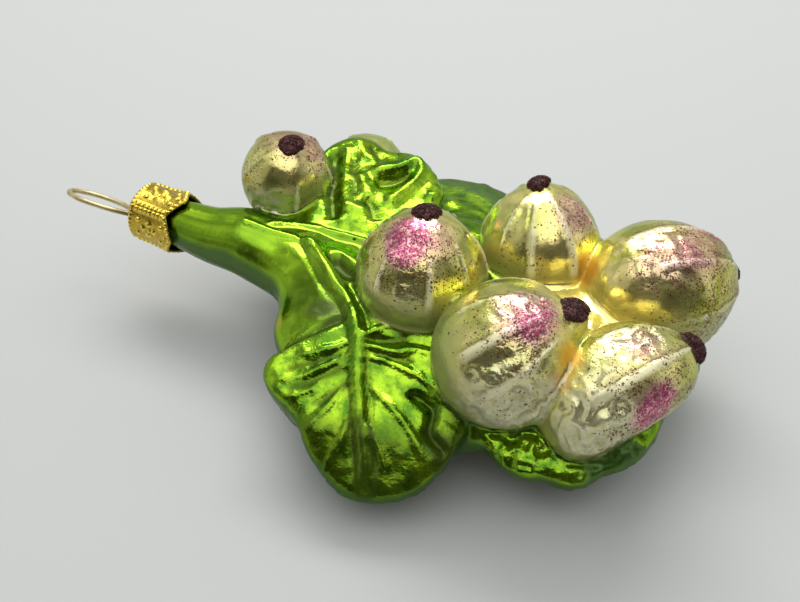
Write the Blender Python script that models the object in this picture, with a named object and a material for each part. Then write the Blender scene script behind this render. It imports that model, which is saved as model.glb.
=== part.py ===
"""Blown glass tree ornament in the shape of a gooseberry sprig, lying on its back.

One hollow glass body (neck, stem, leaves and berries blown in one mould), a pressed
crown cap on its open neck, a sprung hanger wire through the cap, and a dab of glitter
on the blossom end of each berry.

The layout is in millimetres in the mould's own frame and is moved onto the bench by
BENCH, so that the origin is on the table under the middle of the part's box, with +X
from the cap to the fruit and +Z up.
"""

import math

import bmesh
import bpy
from mathutils import Matrix, Vector

MM = 0.001
BENCH = Vector((5.24, -6.35, 0.0))

WALL = 1.1
FIT_GAP = 0.35
VOXEL = 0.75
CAVITY_VOXEL = 1.0
OUTER_FACES = 5200
CAVITY_FACES = 1700

# Each berry: centre, blossom direction, half length, radius, and how much it narrows
# towards the blossom. The last three are underneath and dip 0.3 mm below the table,
# which cuts their flats.
BERRIES = {
    "a": ((-25.2, 22.9, 24.3), (0.21, -0.17, 0.96), 8.4, 8.3, 0.05),
    "b": ((-13.0, 37.0, 16.0), (0.0, 0.9, -0.3), 8.2, 7.6, 0.05),
    "c": ((3.6, 0.6, 25.0), (0.02, 0.26, 1.0), 10.8, 10.8, 0.09),
    "d": ((22.4, 12.7, 24.0), (-0.12, 0.25, 1.0), 10.3, 10.3, 0.12),
    "e": ((19.6, -15.4, 24.8), (0.75, 0.20, 0.66), 12.0, 11.4, 0.06),
    "f": ((36.8, -17.8, 21.8), (0.79, 0.50, 0.35), 13.0, 10.2, 0.04),
    "g": ((43.0, 7.4, 21.4), (1.0, 0.42, 0.03), 13.2, 11.3, 0.03),
    "p": ((-8.0, 11.0, 9.75), (-0.35, 0.61, -0.707), 10.4, 9.8, 0.04),
    "q": ((14.0, -6.5, 10.1), (0.62, -0.34, -0.707), 10.8, 10.1, 0.04),
    "r": ((33.0, 8.0, 10.1), (0.57, 0.42, -0.707), 10.8, 10.1, 0.04),
}
# The calyx stub on each blossom end: which way it stands, its height and its radius.
CALYXES = {
    "a": ((0.02, -0.11, 0.99), 0.5, 2.3),
    "b": ((0.0, 0.9, -0.3), 0.5, 2.3),
    "c": ((-0.03, 0.19, 0.98), 0.5, 2.4),
    "d": ((-0.30, 0.17, 0.97), 1.0, 1.95),
    "e": ((-0.02, 0.11, 0.99), 1.3, 2.7),
    "f": ((0.62, 0.10, 0.78), 0.9, 2.6),
    "g": ((1.0, 0.60, -0.30), 0.1, 2.0),
    "p": ((-0.35, 0.61, -0.707), 0.4, 2.4),
    "q": ((0.62, -0.34, -0.707), 0.4, 2.4),
    "r": ((0.57, 0.42, -0.707), 0.4, 2.4),
}
CALYX_FOOT = 1.5
# A berry that the mould cuts flat: a point of the flat and its facing.
FLATTENED = {"f": ((43.0, -17.5, 15.4), (0.66, -0.61, -0.44))}

# Pads that fill the web between stem, leaves and berries: centre, radii, turn about Z.
PADS = (
    ((24.0, -2.0, 15.0), (27.0, 19.0, 8.6), 0.0),
    ((-8.0, -4.0, 15.0), (12.5, 14.0, 7.2), -20.0),
    ((-14.0, 20.0, 17.0), (13.0, 12.0, 7.0), -10.0),
    ((5.0, 15.0, 15.0), (15.0, 11.0, 6.2), 0.0),
    ((12.0, -17.5, 10.5), (8.0, 6.5, 5.0), 0.0),
)

# Each leaf: middle of its outline, radii at equal angles from +X, the top's height at
# places along Y, the top's slope along X, the underside's height in the middle, and how
# far the top falls towards the edge.
LEAVES = {
    "front": ((-1.5, -18.0), (15, 13.5, 14, 14, 11.6, 12.8, 18.0, 13.6, 14.4, 16.3, 17.2, 17.3),
              ((-35, 8.4), (-31, 11.4), (-27, 14.6), (-18, 18.6), (-8, 22.4), (4, 24.0)), -0.02, 2.4, 1.0),
    "upper": ((-9.0, 24.0), (12.5, 12.5, 12, 11, 15, 14.5, 11, 12, 13, 13, 14, 13),
              ((8, 20.4), (40, 26.8)), 0.0, 12.0, 1.5),
    "back": ((9.0, 24.0), (10, 13.5, 15, 17, 14, 10, 9, 9),
             ((8, 17.5), (40, 17.5)), -0.05, 8.0, 2.0),
    "lower": ((28.0, -20.0), (15.5, 19.5, 18, 16, 15, 14, 12, 10.5, 9.2, 8.0, 9.8, 10.6),
              ((-36, 11.4), (-4, 17.8)), 0.0, 7.5, 2.0),
}
LEAF_RIM = 3.0
LEAF_SEGMENTS = 48
LEAF_RINGS = 8

# Stem: points along its axis with the radius there. The first stretch is the neck.
STEM = (
    ((-50.7, 15.45, 18.35), 4.0),
    ((-44.3, 13.65, 17.95), 4.3),
    ((-37.0, 11.4, 17.75), 5.1),
    ((-30.0, 10.1, 18.0), 6.2),
    ((-22.0, 7.2, 17.0), 6.5),
    ((-13.0, 2.5, 15.8), 7.9),
)
RIDGE = ((-34.0, 9.8, 22.4), (-26.0, 9.0, 22.9), (-22.0, 10.4, 21.6), (-18.8, 10.9, 21.0),
         (-13.3, 11.0, 20.6), (-5.0, 10.0, 20.0))
MIDRIB = ((-16.8, 6.4, 22.7), (-14.0, 2.2, 22.9), (-11.2, -2.0, 21.7), (-8.0, -5.4, 21.9),
          (-6.0, -9.2, 21.2), (-4.6, -13.0, 20.0), (-4.1, -16.5, 18.7), (-2.9, -21.4, 16.5),
          (-1.6, -26.1, 14.3), (-0.6, -29.0, 12.1), (0.3, -32.6, 9.4))
RIDGE_RADIUS = 1.2

# Crown cap: its closed end, which way that faces, and the pressed sheet's sizes.
CAP_END = Vector((-51.6, 15.7, 18.4))
CAP_AXIS = Vector((-0.955, 0.262, 0.055))
CAP_LENGTH = 10.1
CAP_NOTCH = 8.1
CAP_SHEET = 0.4
CAP_RADIUS = 4.85
CAP_FLARE = 0.95
CAP_FLARE_START = 3.0
CAP_SQUARING = 0.085
CAP_CORNER = 0.7
CAP_SEGMENTS = 64
CAP_RINGS = 7
CAP_HOLE_RADIUS = 0.8
LOBE_TURN = -30.7
# A lobe's edge: part of the way from its middle to the notch, part of the lobe's depth.
LOBE_EDGE = ((0.0, 1.0), (0.10, 0.96), (0.90, 0.10), (1.0, 0.0))

# Hanger wire: the loop's plane is turned about the cap's axis and set off from it; the
# legs run back to the middle of the neck.
WIRE_RADIUS = 0.48
WIRE_TURN = 35.0
WIRE_STEPS = 72
WIRE_SET_OFF = 1.5
WIRE_SET_OFF_START = -6.0
WIRE_SET_OFF_END = -0.5
# Half of the wire's centre line: distance out of the cap, and distance from the axis.
WIRE_HALF = ((-11.5, 1.75), (-7.0, 1.6), (-3.0, 1.35), (0.0, 1.2), (1.8, 1.5), (4.2, 3.1),
             (7.4, 4.1), (10.4, 4.3), (13.1, 3.4), (14.8, 1.8), (15.3, 0.0))

DAB_OVERHANG = 0.05
# A dab whose rim would meet the shoulder of its berry sits a little higher.
DAB_LIFTS = {"e": 1.15, "f": 0.8, "g": 0.3}
DAB_THICKNESS = 0.8
DAB_CURVE = 5.2
DAB_SEGMENTS = 20


def clear_scene():
    for scene_object in list(bpy.data.objects):
        bpy.data.objects.remove(scene_object, do_unlink=True)


def material(name, color, roughness, metallic):
    finish = bpy.data.materials.new(name)
    finish.use_nodes = True
    shader = finish.node_tree.nodes["Principled BSDF"]
    shader.inputs["Base Color"].default_value = (*color, 1.0)
    shader.inputs["Roughness"].default_value = roughness
    shader.inputs["Metallic"].default_value = metallic
    return finish


def add_object(name, data, finish=None):
    new_object = bpy.data.objects.new(name, data)
    bpy.context.scene.collection.objects.link(new_object)
    if finish is not None:
        data.materials.append(finish)
    return new_object


def hide_tool(tool):
    """Cutters and guides stay out of the build."""
    tool.hide_render = True
    tool.display_type = "WIRE"


def place(point):
    """A point of the mould's frame, in metres on the bench."""
    return (Vector(point) + BENCH) * MM


def turn_z_to(direction):
    """The rotation that carries +Z onto a direction."""
    return Vector((0, 0, 1)).rotation_difference(Vector(direction).normalized()).to_matrix().to_4x4()


def smooth_path(points, steps):
    """A Catmull-Rom curve through the points, with the given number of equal steps."""
    points = [Vector(p) for p in points]
    points = [2 * points[0] - points[1]] + points + [2 * points[-1] - points[-2]]
    spans = len(points) - 3
    path = []
    for step in range(steps + 1):
        along = min(step / steps * spans, spans - 1e-9)
        first = int(along)
        t = along - first
        p0, p1, p2, p3 = points[first:first + 4]
        path.append(p1 + 0.5 * t * (p2 - p0 + t * (2 * p0 - 5 * p1 + 4 * p2 - p3
                                                     + t * (3 * (p1 - p2) + p3 - p0))))
    return path


def add_ellipsoid(mesh, center, radii, rotation, segments=28, rings=18):
    """An ellipsoid with its pole along its own Z axis."""
    shape = Matrix.Translation(place(center)) @ rotation @ Matrix.Diagonal((*[r * MM for r in radii], 1.0))
    bmesh.ops.create_uvsphere(mesh, u_segments=segments, v_segments=rings, radius=1.0, matrix=shape)


def calyx_top(name):
    """The middle of the ball that rounds off a calyx stub, and the stub's direction."""
    center, direction, half_length, _, _ = BERRIES[name]
    stub_direction, height, stub_radius = CALYXES[name]
    stub = Vector(stub_direction).normalized()
    blossom = Vector(center) + Vector(direction).normalized() * half_length
    return blossom + stub * (height - stub_radius), stub


def add_berry(mesh, name, inset):
    """A berry narrowed towards its blossom, with its calyx stub on the outer skin."""
    center, direction, half_length, radius, taper = BERRIES[name]
    turn = turn_z_to(direction)
    reach = Matrix.Diagonal(((radius - inset) * MM, (radius - inset) * MM, (half_length - inset) * MM, 1.0))
    shape = Matrix.Translation(place(center)) @ turn @ reach
    ball = bmesh.ops.create_uvsphere(mesh, u_segments=28, v_segments=18, radius=1.0)
    for vert in ball["verts"]:
        narrow = 1.0 - taper * vert.co.z
        vert.co = shape @ Vector((vert.co.x * narrow, vert.co.y * narrow, vert.co.z))
    if name in FLATTENED:
        spot, facing = FLATTENED[name]
        square = Vector(facing).normalized()
        for vert in ball["verts"]:
            proud = (vert.co - place(spot)).dot(square) + inset * MM
            vert.co -= square * max(proud, 0.0)
    if inset == 0:
        top, stub = calyx_top(name)
        stub_radius = CALYXES[name][2]
        for ball_center in (top, top - stub * CALYX_FOOT):
            add_ellipsoid(mesh, ball_center, [stub_radius] * 3, turn, 16, 10)


def add_pad(mesh, pad, inset):
    center, radii, turn = pad
    rotation = Matrix.Rotation(math.radians(turn), 4, "Z")
    add_ellipsoid(mesh, center, [r - inset for r in radii], rotation, 40, 20)


def leaf_radius(radii, angle):
    """The outline's radius at an angle, on a closed Catmull-Rom curve through the radii."""
    count = len(radii)
    along = (angle / (2 * math.pi) * count) % count
    first = int(along)
    t = along - first
    r0, r1, r2, r3 = (radii[(first + k) % count] for k in (-1, 0, 1, 2))
    return r1 + 0.5 * t * (r2 - r0 + t * (2 * r0 - 5 * r1 + 4 * r2 - r3 + t * (3 * (r1 - r2) + r3 - r0)))


def height_along(profile, y):
    """The height at y on straight stretches between the profile's points."""
    y = min(max(y, profile[0][0]), profile[-1][0])
    for (start, low), (end, high) in zip(profile, profile[1:]):
        if y <= end:
            return low + (high - low) * (y - start) / (end - start)
    return profile[-1][1]


def add_leaf(mesh, leaf, inset):
    """A closed pad: rings from the middle to the outline, over and under."""
    center, radii, top, slope, bottom, fall = leaf

    def ring(part, upper):
        verts = []
        for segment in range(LEAF_SEGMENTS):
            angle = 2 * math.pi * segment / LEAF_SEGMENTS
            reach = (leaf_radius(radii, angle) - inset) * part
            x, y = reach * math.cos(angle), reach * math.sin(angle)
            edge = math.sqrt(max(0.0, 1.0 - part ** 6))
            roof = height_along(top, center[1] + y) + slope * x - fall * part ** 2
            under = bottom + max(roof - LEAF_RIM - bottom, 0.0) * part ** 3 + inset
            over = max(roof - inset, under)
            middle = 0.5 * (over + under)
            level = middle + (over - middle) * edge if upper else middle - (middle - under) * edge
            verts.append(mesh.verts.new(place((center[0] + x, center[1] + y, level))))
        return verts

    over_rings = [ring(k / LEAF_RINGS, True) for k in range(1, LEAF_RINGS + 1)]
    under_rings = [ring(k / LEAF_RINGS, False) for k in range(1, LEAF_RINGS)]
    sequence = under_rings + over_rings[::-1]
    for lower, higher in zip(sequence, sequence[1:]):
        for segment in range(LEAF_SEGMENTS):
            after = (segment + 1) % LEAF_SEGMENTS
            mesh.faces.new((lower[segment], lower[after], higher[after], higher[segment]))
    mesh.faces.new(sequence[0][::-1])
    mesh.faces.new(sequence[-1])


def add_tube(mesh, path, radii, segments=24):
    """A round tube of changing radius along a path, closed at both ends."""
    rings = []
    for index, (point, radius) in enumerate(zip(path, radii)):
        before = path[max(index - 1, 0)]
        after = path[min(index + 1, len(path) - 1)]
        turn = turn_z_to(after - before)
        shape = Matrix.Translation(place(point)) @ turn @ Matrix.Scale(radius * MM, 4)
        circle = bmesh.ops.create_circle(mesh, segments=segments, radius=1.0, matrix=shape)
        rings.append(circle["verts"])
    for near, far in zip(rings, rings[1:]):
        for segment in range(segments):
            after = (segment + 1) % segments
            mesh.faces.new((near[segment], near[after], far[after], far[segment]))
    mesh.faces.new(rings[0][::-1])
    mesh.faces.new(rings[-1])


def add_stem(mesh, inset, mouth=0.0):
    """The neck and stem; a cavity's neck runs on through the open end by mouth."""
    points = [Vector(p) for p, _ in STEM]
    radii = [r - inset for _, r in STEM]
    outward = (points[0] - points[1]).normalized()
    points[0] = points[0] + outward * mouth
    path = smooth_path(points, 20)
    widths = [w.x for w in smooth_path([(r, 0, 0) for r in radii], 20)]
    add_tube(mesh, path, widths)


def body_shapes(mesh_name, inset, mouth=0.0):
    """All of the sprig's shapes as overlapping closed solids in one mesh."""
    mesh = bmesh.new()
    for name in BERRIES:
        add_berry(mesh, name, inset)
    for pad in PADS:
        add_pad(mesh, pad, inset)
    for leaf in LEAVES.values():
        add_leaf(mesh, leaf, inset * 1.3)
    add_stem(mesh, inset, mouth)
    if inset == 0:
        for ridge in (RIDGE, MIDRIB):
            path = smooth_path(ridge, 24)
            add_tube(mesh, path, [RIDGE_RADIUS] * len(path), 10)
    bmesh.ops.recalc_face_normals(mesh, faces=mesh.faces)
    data = bpy.data.meshes.new(mesh_name)
    mesh.to_mesh(data)
    mesh.free()
    return data


def fuse(solid, voxel, smoothing, faces):
    """Melts the overlapping solids into one skin and thins it to about the given faces."""
    remesh = solid.modifiers.new("Melt", "REMESH")
    remesh.mode = "VOXEL"
    remesh.voxel_size = voxel * MM
    smooth = solid.modifiers.new("Fillets", "SMOOTH")
    smooth.factor = 0.5
    smooth.iterations = smoothing
    depsgraph = bpy.context.evaluated_depsgraph_get()
    count = sum(len(p.vertices) - 2 for p in solid.evaluated_get(depsgraph).data.polygons)
    thin = solid.modifiers.new("Thin", "DECIMATE")
    thin.ratio = min(1.0, faces / count)


def add_boolean(solid, tool, operation):
    cut = solid.modifiers.new(tool.name, "BOOLEAN")
    cut.operation = operation
    cut.object = tool
    cut.solver = "EXACT"


def glass_body():
    """The blown shell: outer skin, less the cavity that opens at the neck, less the flats."""
    glass = material("lacquered_glass", (0.35, 0.62, 0.12), 0.15, 0.9)
    body = add_object("glass_body", body_shapes("glass_body", 0.0), glass)
    fuse(body, VOXEL, 4, OUTER_FACES)

    cavity = add_object("cavity", body_shapes("cavity", WALL, 3.0))
    fuse(cavity, CAVITY_VOXEL, 6, CAVITY_FACES)
    hide_tool(cavity)
    add_boolean(body, cavity, "DIFFERENCE")

    bench_data = bpy.data.meshes.new("bench")
    mesh = bmesh.new()
    slab = Matrix.Translation((0, 0, -0.05)) @ Matrix.Diagonal((0.3, 0.3, 0.1, 1))
    bmesh.ops.create_cube(mesh, size=1.0, matrix=slab)
    mesh.to_mesh(bench_data)
    mesh.free()
    bench = add_object("bench", bench_data)
    hide_tool(bench)
    add_boolean(body, bench, "DIFFERENCE")
    return body


def neck_frame():
    """Axes at the cap's closed end: X out of the neck, Y across the loop, Z square to both."""
    outward = CAP_AXIS.normalized()
    level = Vector((0, 0, 1)).cross(-outward).normalized()
    across = Matrix.Rotation(math.radians(WIRE_TURN), 3, outward) @ level
    square = outward.cross(across)
    frame = Matrix((outward, across, square)).transposed().to_4x4()
    return Matrix.Translation(place(CAP_END)) @ frame


def off_lobe_middle(angle):
    """Part of the way from the middle of a lobe to the notch beside it."""
    quarter = math.pi / 2
    return abs((angle - math.radians(LOBE_TURN) + quarter / 2) % quarter - quarter / 2) / (quarter / 2)


def lobe_depth(angle):
    """How far a lobe reaches past the notches: straight stretches between LOBE_EDGE's points."""
    off_middle = off_lobe_middle(angle)
    for (start, high), (end, low) in zip(LOBE_EDGE, LOBE_EDGE[1:]):
        if off_middle <= end:
            return high + (low - high) * (off_middle - start) / (end - start)
    return LOBE_EDGE[-1][1]


def cap_profile(part, angle):
    """Distance behind the closed end and radius, at a part of the way to the skirt's edge."""
    depth = CAP_NOTCH + (CAP_LENGTH - CAP_NOTCH) * lobe_depth(angle)
    back = depth * part
    corner = max(0.0, 1.0 - back / CAP_CORNER)
    radius = CAP_RADIUS * (1.0 + CAP_SQUARING * off_lobe_middle(angle) ** 2)
    radius -= CAP_CORNER * (1.0 - math.sqrt(1.0 - corner ** 2))
    radius += CAP_FLARE * max(0.0, (back - CAP_FLARE_START) / (CAP_LENGTH - CAP_FLARE_START)) ** 2.2
    return back, radius


def crown_cap():
    """A pressed cup of thin sheet with four lobes and two holes for the wire."""
    frame = neck_frame()
    mesh = bmesh.new()

    def ring(part, inner):
        verts = []
        for segment in range(CAP_SEGMENTS):
            angle = 2 * math.pi * segment / CAP_SEGMENTS
            back, radius = cap_profile(part, angle)
            if inner:
                radius -= CAP_SHEET
                back = max(back, CAP_SHEET)
            point = Vector((-back, radius * math.cos(angle), radius * math.sin(angle))) * MM
            verts.append(mesh.verts.new(frame @ point))
        return verts

    parts = [(k / CAP_RINGS) ** 1.3 for k in range(CAP_RINGS + 1)]
    rings = [ring(part, False) for part in parts]
    rings += [ring(part, True) for part in parts[:0:-1]]
    for near, far in zip(rings, rings[1:]):
        for segment in range(CAP_SEGMENTS):
            after = (segment + 1) % CAP_SEGMENTS
            mesh.faces.new((near[segment], near[after], far[after], far[segment]))
    mesh.faces.new(rings[0])
    mesh.faces.new(rings[-1][::-1])
    bmesh.ops.recalc_face_normals(mesh, faces=mesh.faces)
    data = bpy.data.meshes.new("crown_cap")
    mesh.to_mesh(data)
    mesh.free()
    cap = add_object("crown_cap", data, material("gilt_brass", (0.85, 0.62, 0.15), 0.3, 1.0))

    exit_offset = dict(WIRE_HALF)[0.0]
    for side in (-1, 1):
        drill_data = bpy.data.meshes.new("wire_hole")
        drill_mesh = bmesh.new()
        spot = Matrix.Translation(Vector((-0.2, side * exit_offset, WIRE_SET_OFF)) * MM)
        along = Matrix.Rotation(math.radians(90), 4, "Y")
        bmesh.ops.create_cone(drill_mesh, cap_ends=True, segments=12, radius1=CAP_HOLE_RADIUS * MM,
                              radius2=CAP_HOLE_RADIUS * MM, depth=2 * MM, matrix=frame @ spot @ along)
        drill_mesh.to_mesh(drill_data)
        drill_mesh.free()
        drill = add_object("wire_hole", drill_data)
        hide_tool(drill)
        add_boolean(cap, drill, "DIFFERENCE")
    return cap


def hanger_wire():
    """One spring wire: two legs splayed in the neck, out through the cap and round in a loop."""
    frame = neck_frame()
    half = [(out, -across, 0) for out, across in WIRE_HALF]
    whole = half + [(out, -across, 0) for out, across, _ in half[-2::-1]]
    path = smooth_path(whole, WIRE_STEPS)
    data = bpy.data.curves.new("hanger_wire", "CURVE")
    data.dimensions = "3D"
    data.bevel_depth = WIRE_RADIUS * MM
    data.bevel_resolution = 2
    data.use_fill_caps = True
    spline = data.splines.new("POLY")
    spline.points.add(len(path) - 1)
    for point, spot in zip(spline.points, path):
        part = (spot.x - WIRE_SET_OFF_START) / (WIRE_SET_OFF_END - WIRE_SET_OFF_START)
        part = min(max(part, 0.0), 1.0)
        spot.z = WIRE_SET_OFF * part * part * (3.0 - 2.0 * part)
        point.co = (*(frame @ (spot * MM)), 1.0)
    return add_object("hanger_wire", data, material("brassed_wire", (0.55, 0.45, 0.22), 0.3, 1.0))


def glitter_dab(name, finish):
    """A thin domed dab square to the calyx stub, just off its end."""
    top, stub = calyx_top(name)
    dab_radius = CALYXES[name][2] + DAB_OVERHANG
    foot = top + stub * (CALYXES[name][2] + FIT_GAP + DAB_LIFTS.get(name, 0.0))
    shape = Matrix.Translation(place(foot)) @ turn_z_to(stub)

    def level(radius, over):
        sag = radius ** 2 / (2 * DAB_CURVE)
        dome = DAB_THICKNESS * math.sqrt(max(0.0, 1.0 - (radius / (dab_radius * 1.04)) ** 2)) if over else 0.0
        return dome - sag

    reach = [dab_radius * k for k in (0.45, 0.8, 1.0)]
    profile = [(r, level(r, False)) for r in reach] + [(r, level(r, True)) for r in reach[::-1]]
    mesh = bmesh.new()
    rings = []
    for radius, height in profile:
        ring = []
        for segment in range(DAB_SEGMENTS):
            angle = 2 * math.pi * segment / DAB_SEGMENTS
            point = Vector((radius * math.cos(angle), radius * math.sin(angle), height)) * MM
            ring.append(mesh.verts.new(shape @ point))
        rings.append(ring)
    for near, far in zip(rings, rings[1:]):
        for segment in range(DAB_SEGMENTS):
            after = (segment + 1) % DAB_SEGMENTS
            mesh.faces.new((near[segment], near[after], far[after], far[segment]))
    mesh.faces.new(rings[0][::-1])
    mesh.faces.new(rings[-1])
    bmesh.ops.recalc_face_normals(mesh, faces=mesh.faces)
    data = bpy.data.meshes.new("dab_" + name)
    mesh.to_mesh(data)
    mesh.free()
    return add_object("dab_" + name, data, finish)


def main():
    clear_scene()
    glass_body()
    crown_cap()
    hanger_wire()
    glitter = material("maroon_glitter", (0.06, 0.016, 0.01), 0.6, 0.2)
    for name in BERRIES:
        glitter_dab(name, glitter)


main()
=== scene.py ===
"""Blown glass tree ornament in the shape of a gooseberry sprig, as it lies on a table.

The sections follow the ornament as it is made: the glass is blown in its mould, silvered
and lacquered, dabs of glitter go on the blossom ends, and the crown cap with its wire
loop closes the neck. Shapes are worked out in millimetres in the mould's own frame.
"""

import bpy
import numpy as np
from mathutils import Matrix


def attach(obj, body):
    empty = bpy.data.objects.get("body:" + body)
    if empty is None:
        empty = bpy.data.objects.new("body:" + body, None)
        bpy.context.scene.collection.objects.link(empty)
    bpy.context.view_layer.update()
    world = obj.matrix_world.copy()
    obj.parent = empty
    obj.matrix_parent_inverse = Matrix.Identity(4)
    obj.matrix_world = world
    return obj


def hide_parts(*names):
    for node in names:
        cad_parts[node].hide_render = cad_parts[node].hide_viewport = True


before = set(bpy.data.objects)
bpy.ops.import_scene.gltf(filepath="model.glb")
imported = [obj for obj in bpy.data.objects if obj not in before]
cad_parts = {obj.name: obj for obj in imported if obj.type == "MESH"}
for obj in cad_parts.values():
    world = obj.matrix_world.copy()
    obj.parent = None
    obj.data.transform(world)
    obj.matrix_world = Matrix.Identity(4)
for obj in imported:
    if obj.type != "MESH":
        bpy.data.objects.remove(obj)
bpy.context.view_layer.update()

# ------------------------------------------------------------------ the blown glass body
# One bubble of glass blown into a two-part mould, so the neck, the stem, the leaves and
# the berries are one thin hollow shell. The mould leaves a fine raised seam where its
# halves meet, and the cut neck stays open under the cap.

MM = 0.001
# Where the mould's frame lies on the bench: its own origin is beside the stem.
BENCH = np.array([5.24, -6.35, 0.0])

# Each berry: centre, blossom direction, half length, radius, and how much it narrows
# towards the blossom.
BERRIES = {
    "a": ((-25.2, 22.9, 24.3), (0.21, -0.17, 0.96), 8.4, 8.3, 0.05),
    "b": ((-13.0, 37.0, 16.0), (0.0, 0.9, -0.3), 8.2, 7.6, 0.05),
    "c": ((3.6, 0.6, 25.0), (0.02, 0.26, 1.0), 10.8, 10.8, 0.09),
    "d": ((22.4, 12.7, 24.0), (-0.12, 0.25, 1.0), 10.3, 10.3, 0.12),
    "e": ((19.6, -15.4, 24.8), (0.75, 0.20, 0.66), 12.0, 11.4, 0.06),
    "f": ((36.8, -17.8, 21.8), (0.79, 0.50, 0.35), 13.0, 10.2, 0.04),
    "g": ((43.0, 7.4, 21.4), (1.0, 0.42, 0.03), 13.2, 11.3, 0.03),
    "p": ((-8.0, 11.0, 9.75), (-0.35, 0.61, -0.707), 10.4, 9.8, 0.04),
    "q": ((14.0, -6.5, 10.1), (0.62, -0.34, -0.707), 10.8, 10.1, 0.04),
    "r": ((33.0, 8.0, 10.1), (0.57, 0.42, -0.707), 10.8, 10.1, 0.04),
}
# The raised veins: azimuth from the front, the angles from the blossom where the cream
# stroke starts and ends, and its half width, all but the last in degrees.
EVEN_VEINS = tuple((azimuth, 25, 90, 0.4) for azimuth in range(-150, 91, 60))
VEINS = {
    "a": ((-50, 40, 80, 0.22), (35, 52, 92, 0.42), (100, 30, 90, 0.3), (160, 30, 90, 0.3),
          (-110, 30, 90, 0.3)),
    "b": EVEN_VEINS,
    "c": ((-33, 52, 92, 0.55), (15, 50, 98, 0.62), (52, 40, 78, 0.32), (95, 35, 90, 0.4), (145, 30, 95, 0.4),
          (-135, 30, 95, 0.4), (-85, 35, 90, 0.3)),
    "d": ((-40, 30, 76, 0.34), (-7, 26, 100, 0.70), (33, 24, 104, 0.75), (75, 30, 80, 0.4),
          (125, 25, 95, 0.4), (180, 25, 95, 0.5), (-140, 25, 95, 0.4), (-95, 30, 90, 0.4)),
    "e": ((-62, 20, 95, 0.36), (-25, 30, 104, 0.85), (9, 34, 104, 0.70), (45, 40, 95, 0.4), (90, 30, 90, 0.4),
          (140, 30, 90, 0.4), (-115, 30, 90, 0.4)),
    "f": ((-66, 20, 90, 0.36), (-18, 16, 116, 0.80), (34, 40, 100, 0.4), (80, 30, 90, 0.4),
          (125, 30, 90, 0.4), (175, 30, 90, 0.4), (-120, 30, 90, 0.4)),
    "g": ((-110, 25, 95, 0.4), (-67, 14, 116, 0.60), (-28, 12, 106, 0.62), (20, 26, 88, 0.50),
          (70, 30, 90, 0.4), (120, 25, 95, 0.4), (-155, 25, 95, 0.5)),
    "p": EVEN_VEINS, "q": EVEN_VEINS, "r": EVEN_VEINS,
}
# The calyx stub on each blossom end: which way it stands, its height and its radius. On
# the visible side the mould draws it nearly upright.
CALYXES = {
    "a": ((0.02, -0.11, 0.99), 0.5, 2.3), "b": ((0.0, 0.9, -0.3), 0.5, 2.3),
    "c": ((-0.03, 0.19, 0.98), 0.5, 2.4), "d": ((-0.30, 0.17, 0.97), 1.0, 1.95),
    "e": ((-0.02, 0.11, 0.99), 1.3, 2.7), "f": ((0.40, -0.20, 0.88), 0.9, 2.6),
    "g": ((1.0, 0.60, -0.30), 0.1, 2.0), "p": ((-0.35, 0.61, -0.707), 0.4, 2.4),
    "q": ((0.62, -0.34, -0.707), 0.4, 2.4), "r": ((0.57, 0.42, -0.707), 0.4, 2.4),
}
CALYX_FOOT = 1.5
UNDERSIDE = "pqr"
# A berry that the parting of the mould cuts flat: a point of the flat and its facing.
FLATTENED = {"f": ((43.0, -17.5, 15.4), (0.66, -0.61, -0.44))}

# Pads that fill out the bubble between the stem, the leaves and the fruit: centre, radii,
# turn about the vertical in degrees and how softly it melts in.
PADS = (
    ((-8.0, -4.0, 15.0), (12.5, 14.0, 7.2), -20.0, 4.0),
    ((24.0, -2.0, 15.0), (27.0, 19.0, 8.6), 0.0, 5.0),
    ((-14.0, 20.0, 17.0), (13.0, 12.0, 7.0), -10.0, 4.0),
    ((5.0, 15.0, 15.0), (15.0, 11.0, 6.2), 0.0, 4.0),
    ((12.0, -17.5, 10.5), (8.0, 6.5, 5.0), 0.0, 4.0),
)
# How softly the other parts of the mould run into each other.
CALYX_MELT, FLAT_MELT, BERRY_MELT, UNDERSIDE_MELT = 1.2, 3.0, 1.4, 2.5
LEAF_MELT, LEAF_EDGE_MELT, LEAF_UNDER_MELT, MOUTH_MELT = 2.2, 2.2, 3.0, 0.5

# Each leaf: middle of its outline, radii at equal angles from +X, the top's height at
# places along Y and its slope along X, height of the underside, and how far both close in
# towards the edge.
LEAF_RIM = 3.0
LEAVES = {
    "front": ((-1.5, -18.0), (15, 13.5, 14, 14, 11.6, 12.8, 18.0, 13.6, 14.4, 16.3, 17.2, 17.3),
              ((-35, 8.4), (-31, 11.4), (-27, 14.6), (-18, 18.6), (-8, 22.4), (4, 24.0)), -0.02, 2.4, 1.0),
    "upper": ((-9.0, 24.0), (12.5, 12.5, 12, 11, 15, 14.5, 11, 12, 13, 13, 14, 13),
              ((8, 20.4), (40, 26.8)), 0.0, 12.0, 1.5),
    "back": ((9.0, 24.0), (10, 13.5, 15, 17, 14, 10, 9, 9),
             ((8, 17.5), (40, 17.5)), -0.05, 8.0, 2.0),
    "lower": ((28.0, -20.0), (15.5, 19.5, 18, 16, 15, 14, 12, 10.5, 9.2, 8.0, 9.8, 10.6),
              ((-36, 11.4), (-4, 17.8)), 0.0, 7.5, 2.0),
}

# The stem's axis from the open neck to the leaves, with its radius at each point.
STEM = (((-50.7, 15.45, 18.35), 4.0), ((-44.3, 13.65, 17.95), 4.3), ((-37.0, 11.4, 17.75), 5.1),
        ((-30.0, 10.1, 18.0), 6.2), ((-22.0, 7.2, 17.0), 6.5), ((-13.0, 2.5, 15.8), 7.9))
# The neck's bore: its length, and its radius at the mouth and at its end.
NECK_BORE_LENGTH, NECK_BORE = 17.0, (3.0, 2.4)


def unit(vector):
    """The vector at length one."""
    vector = np.asarray(vector, float)
    return vector / np.linalg.norm(vector)


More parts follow.
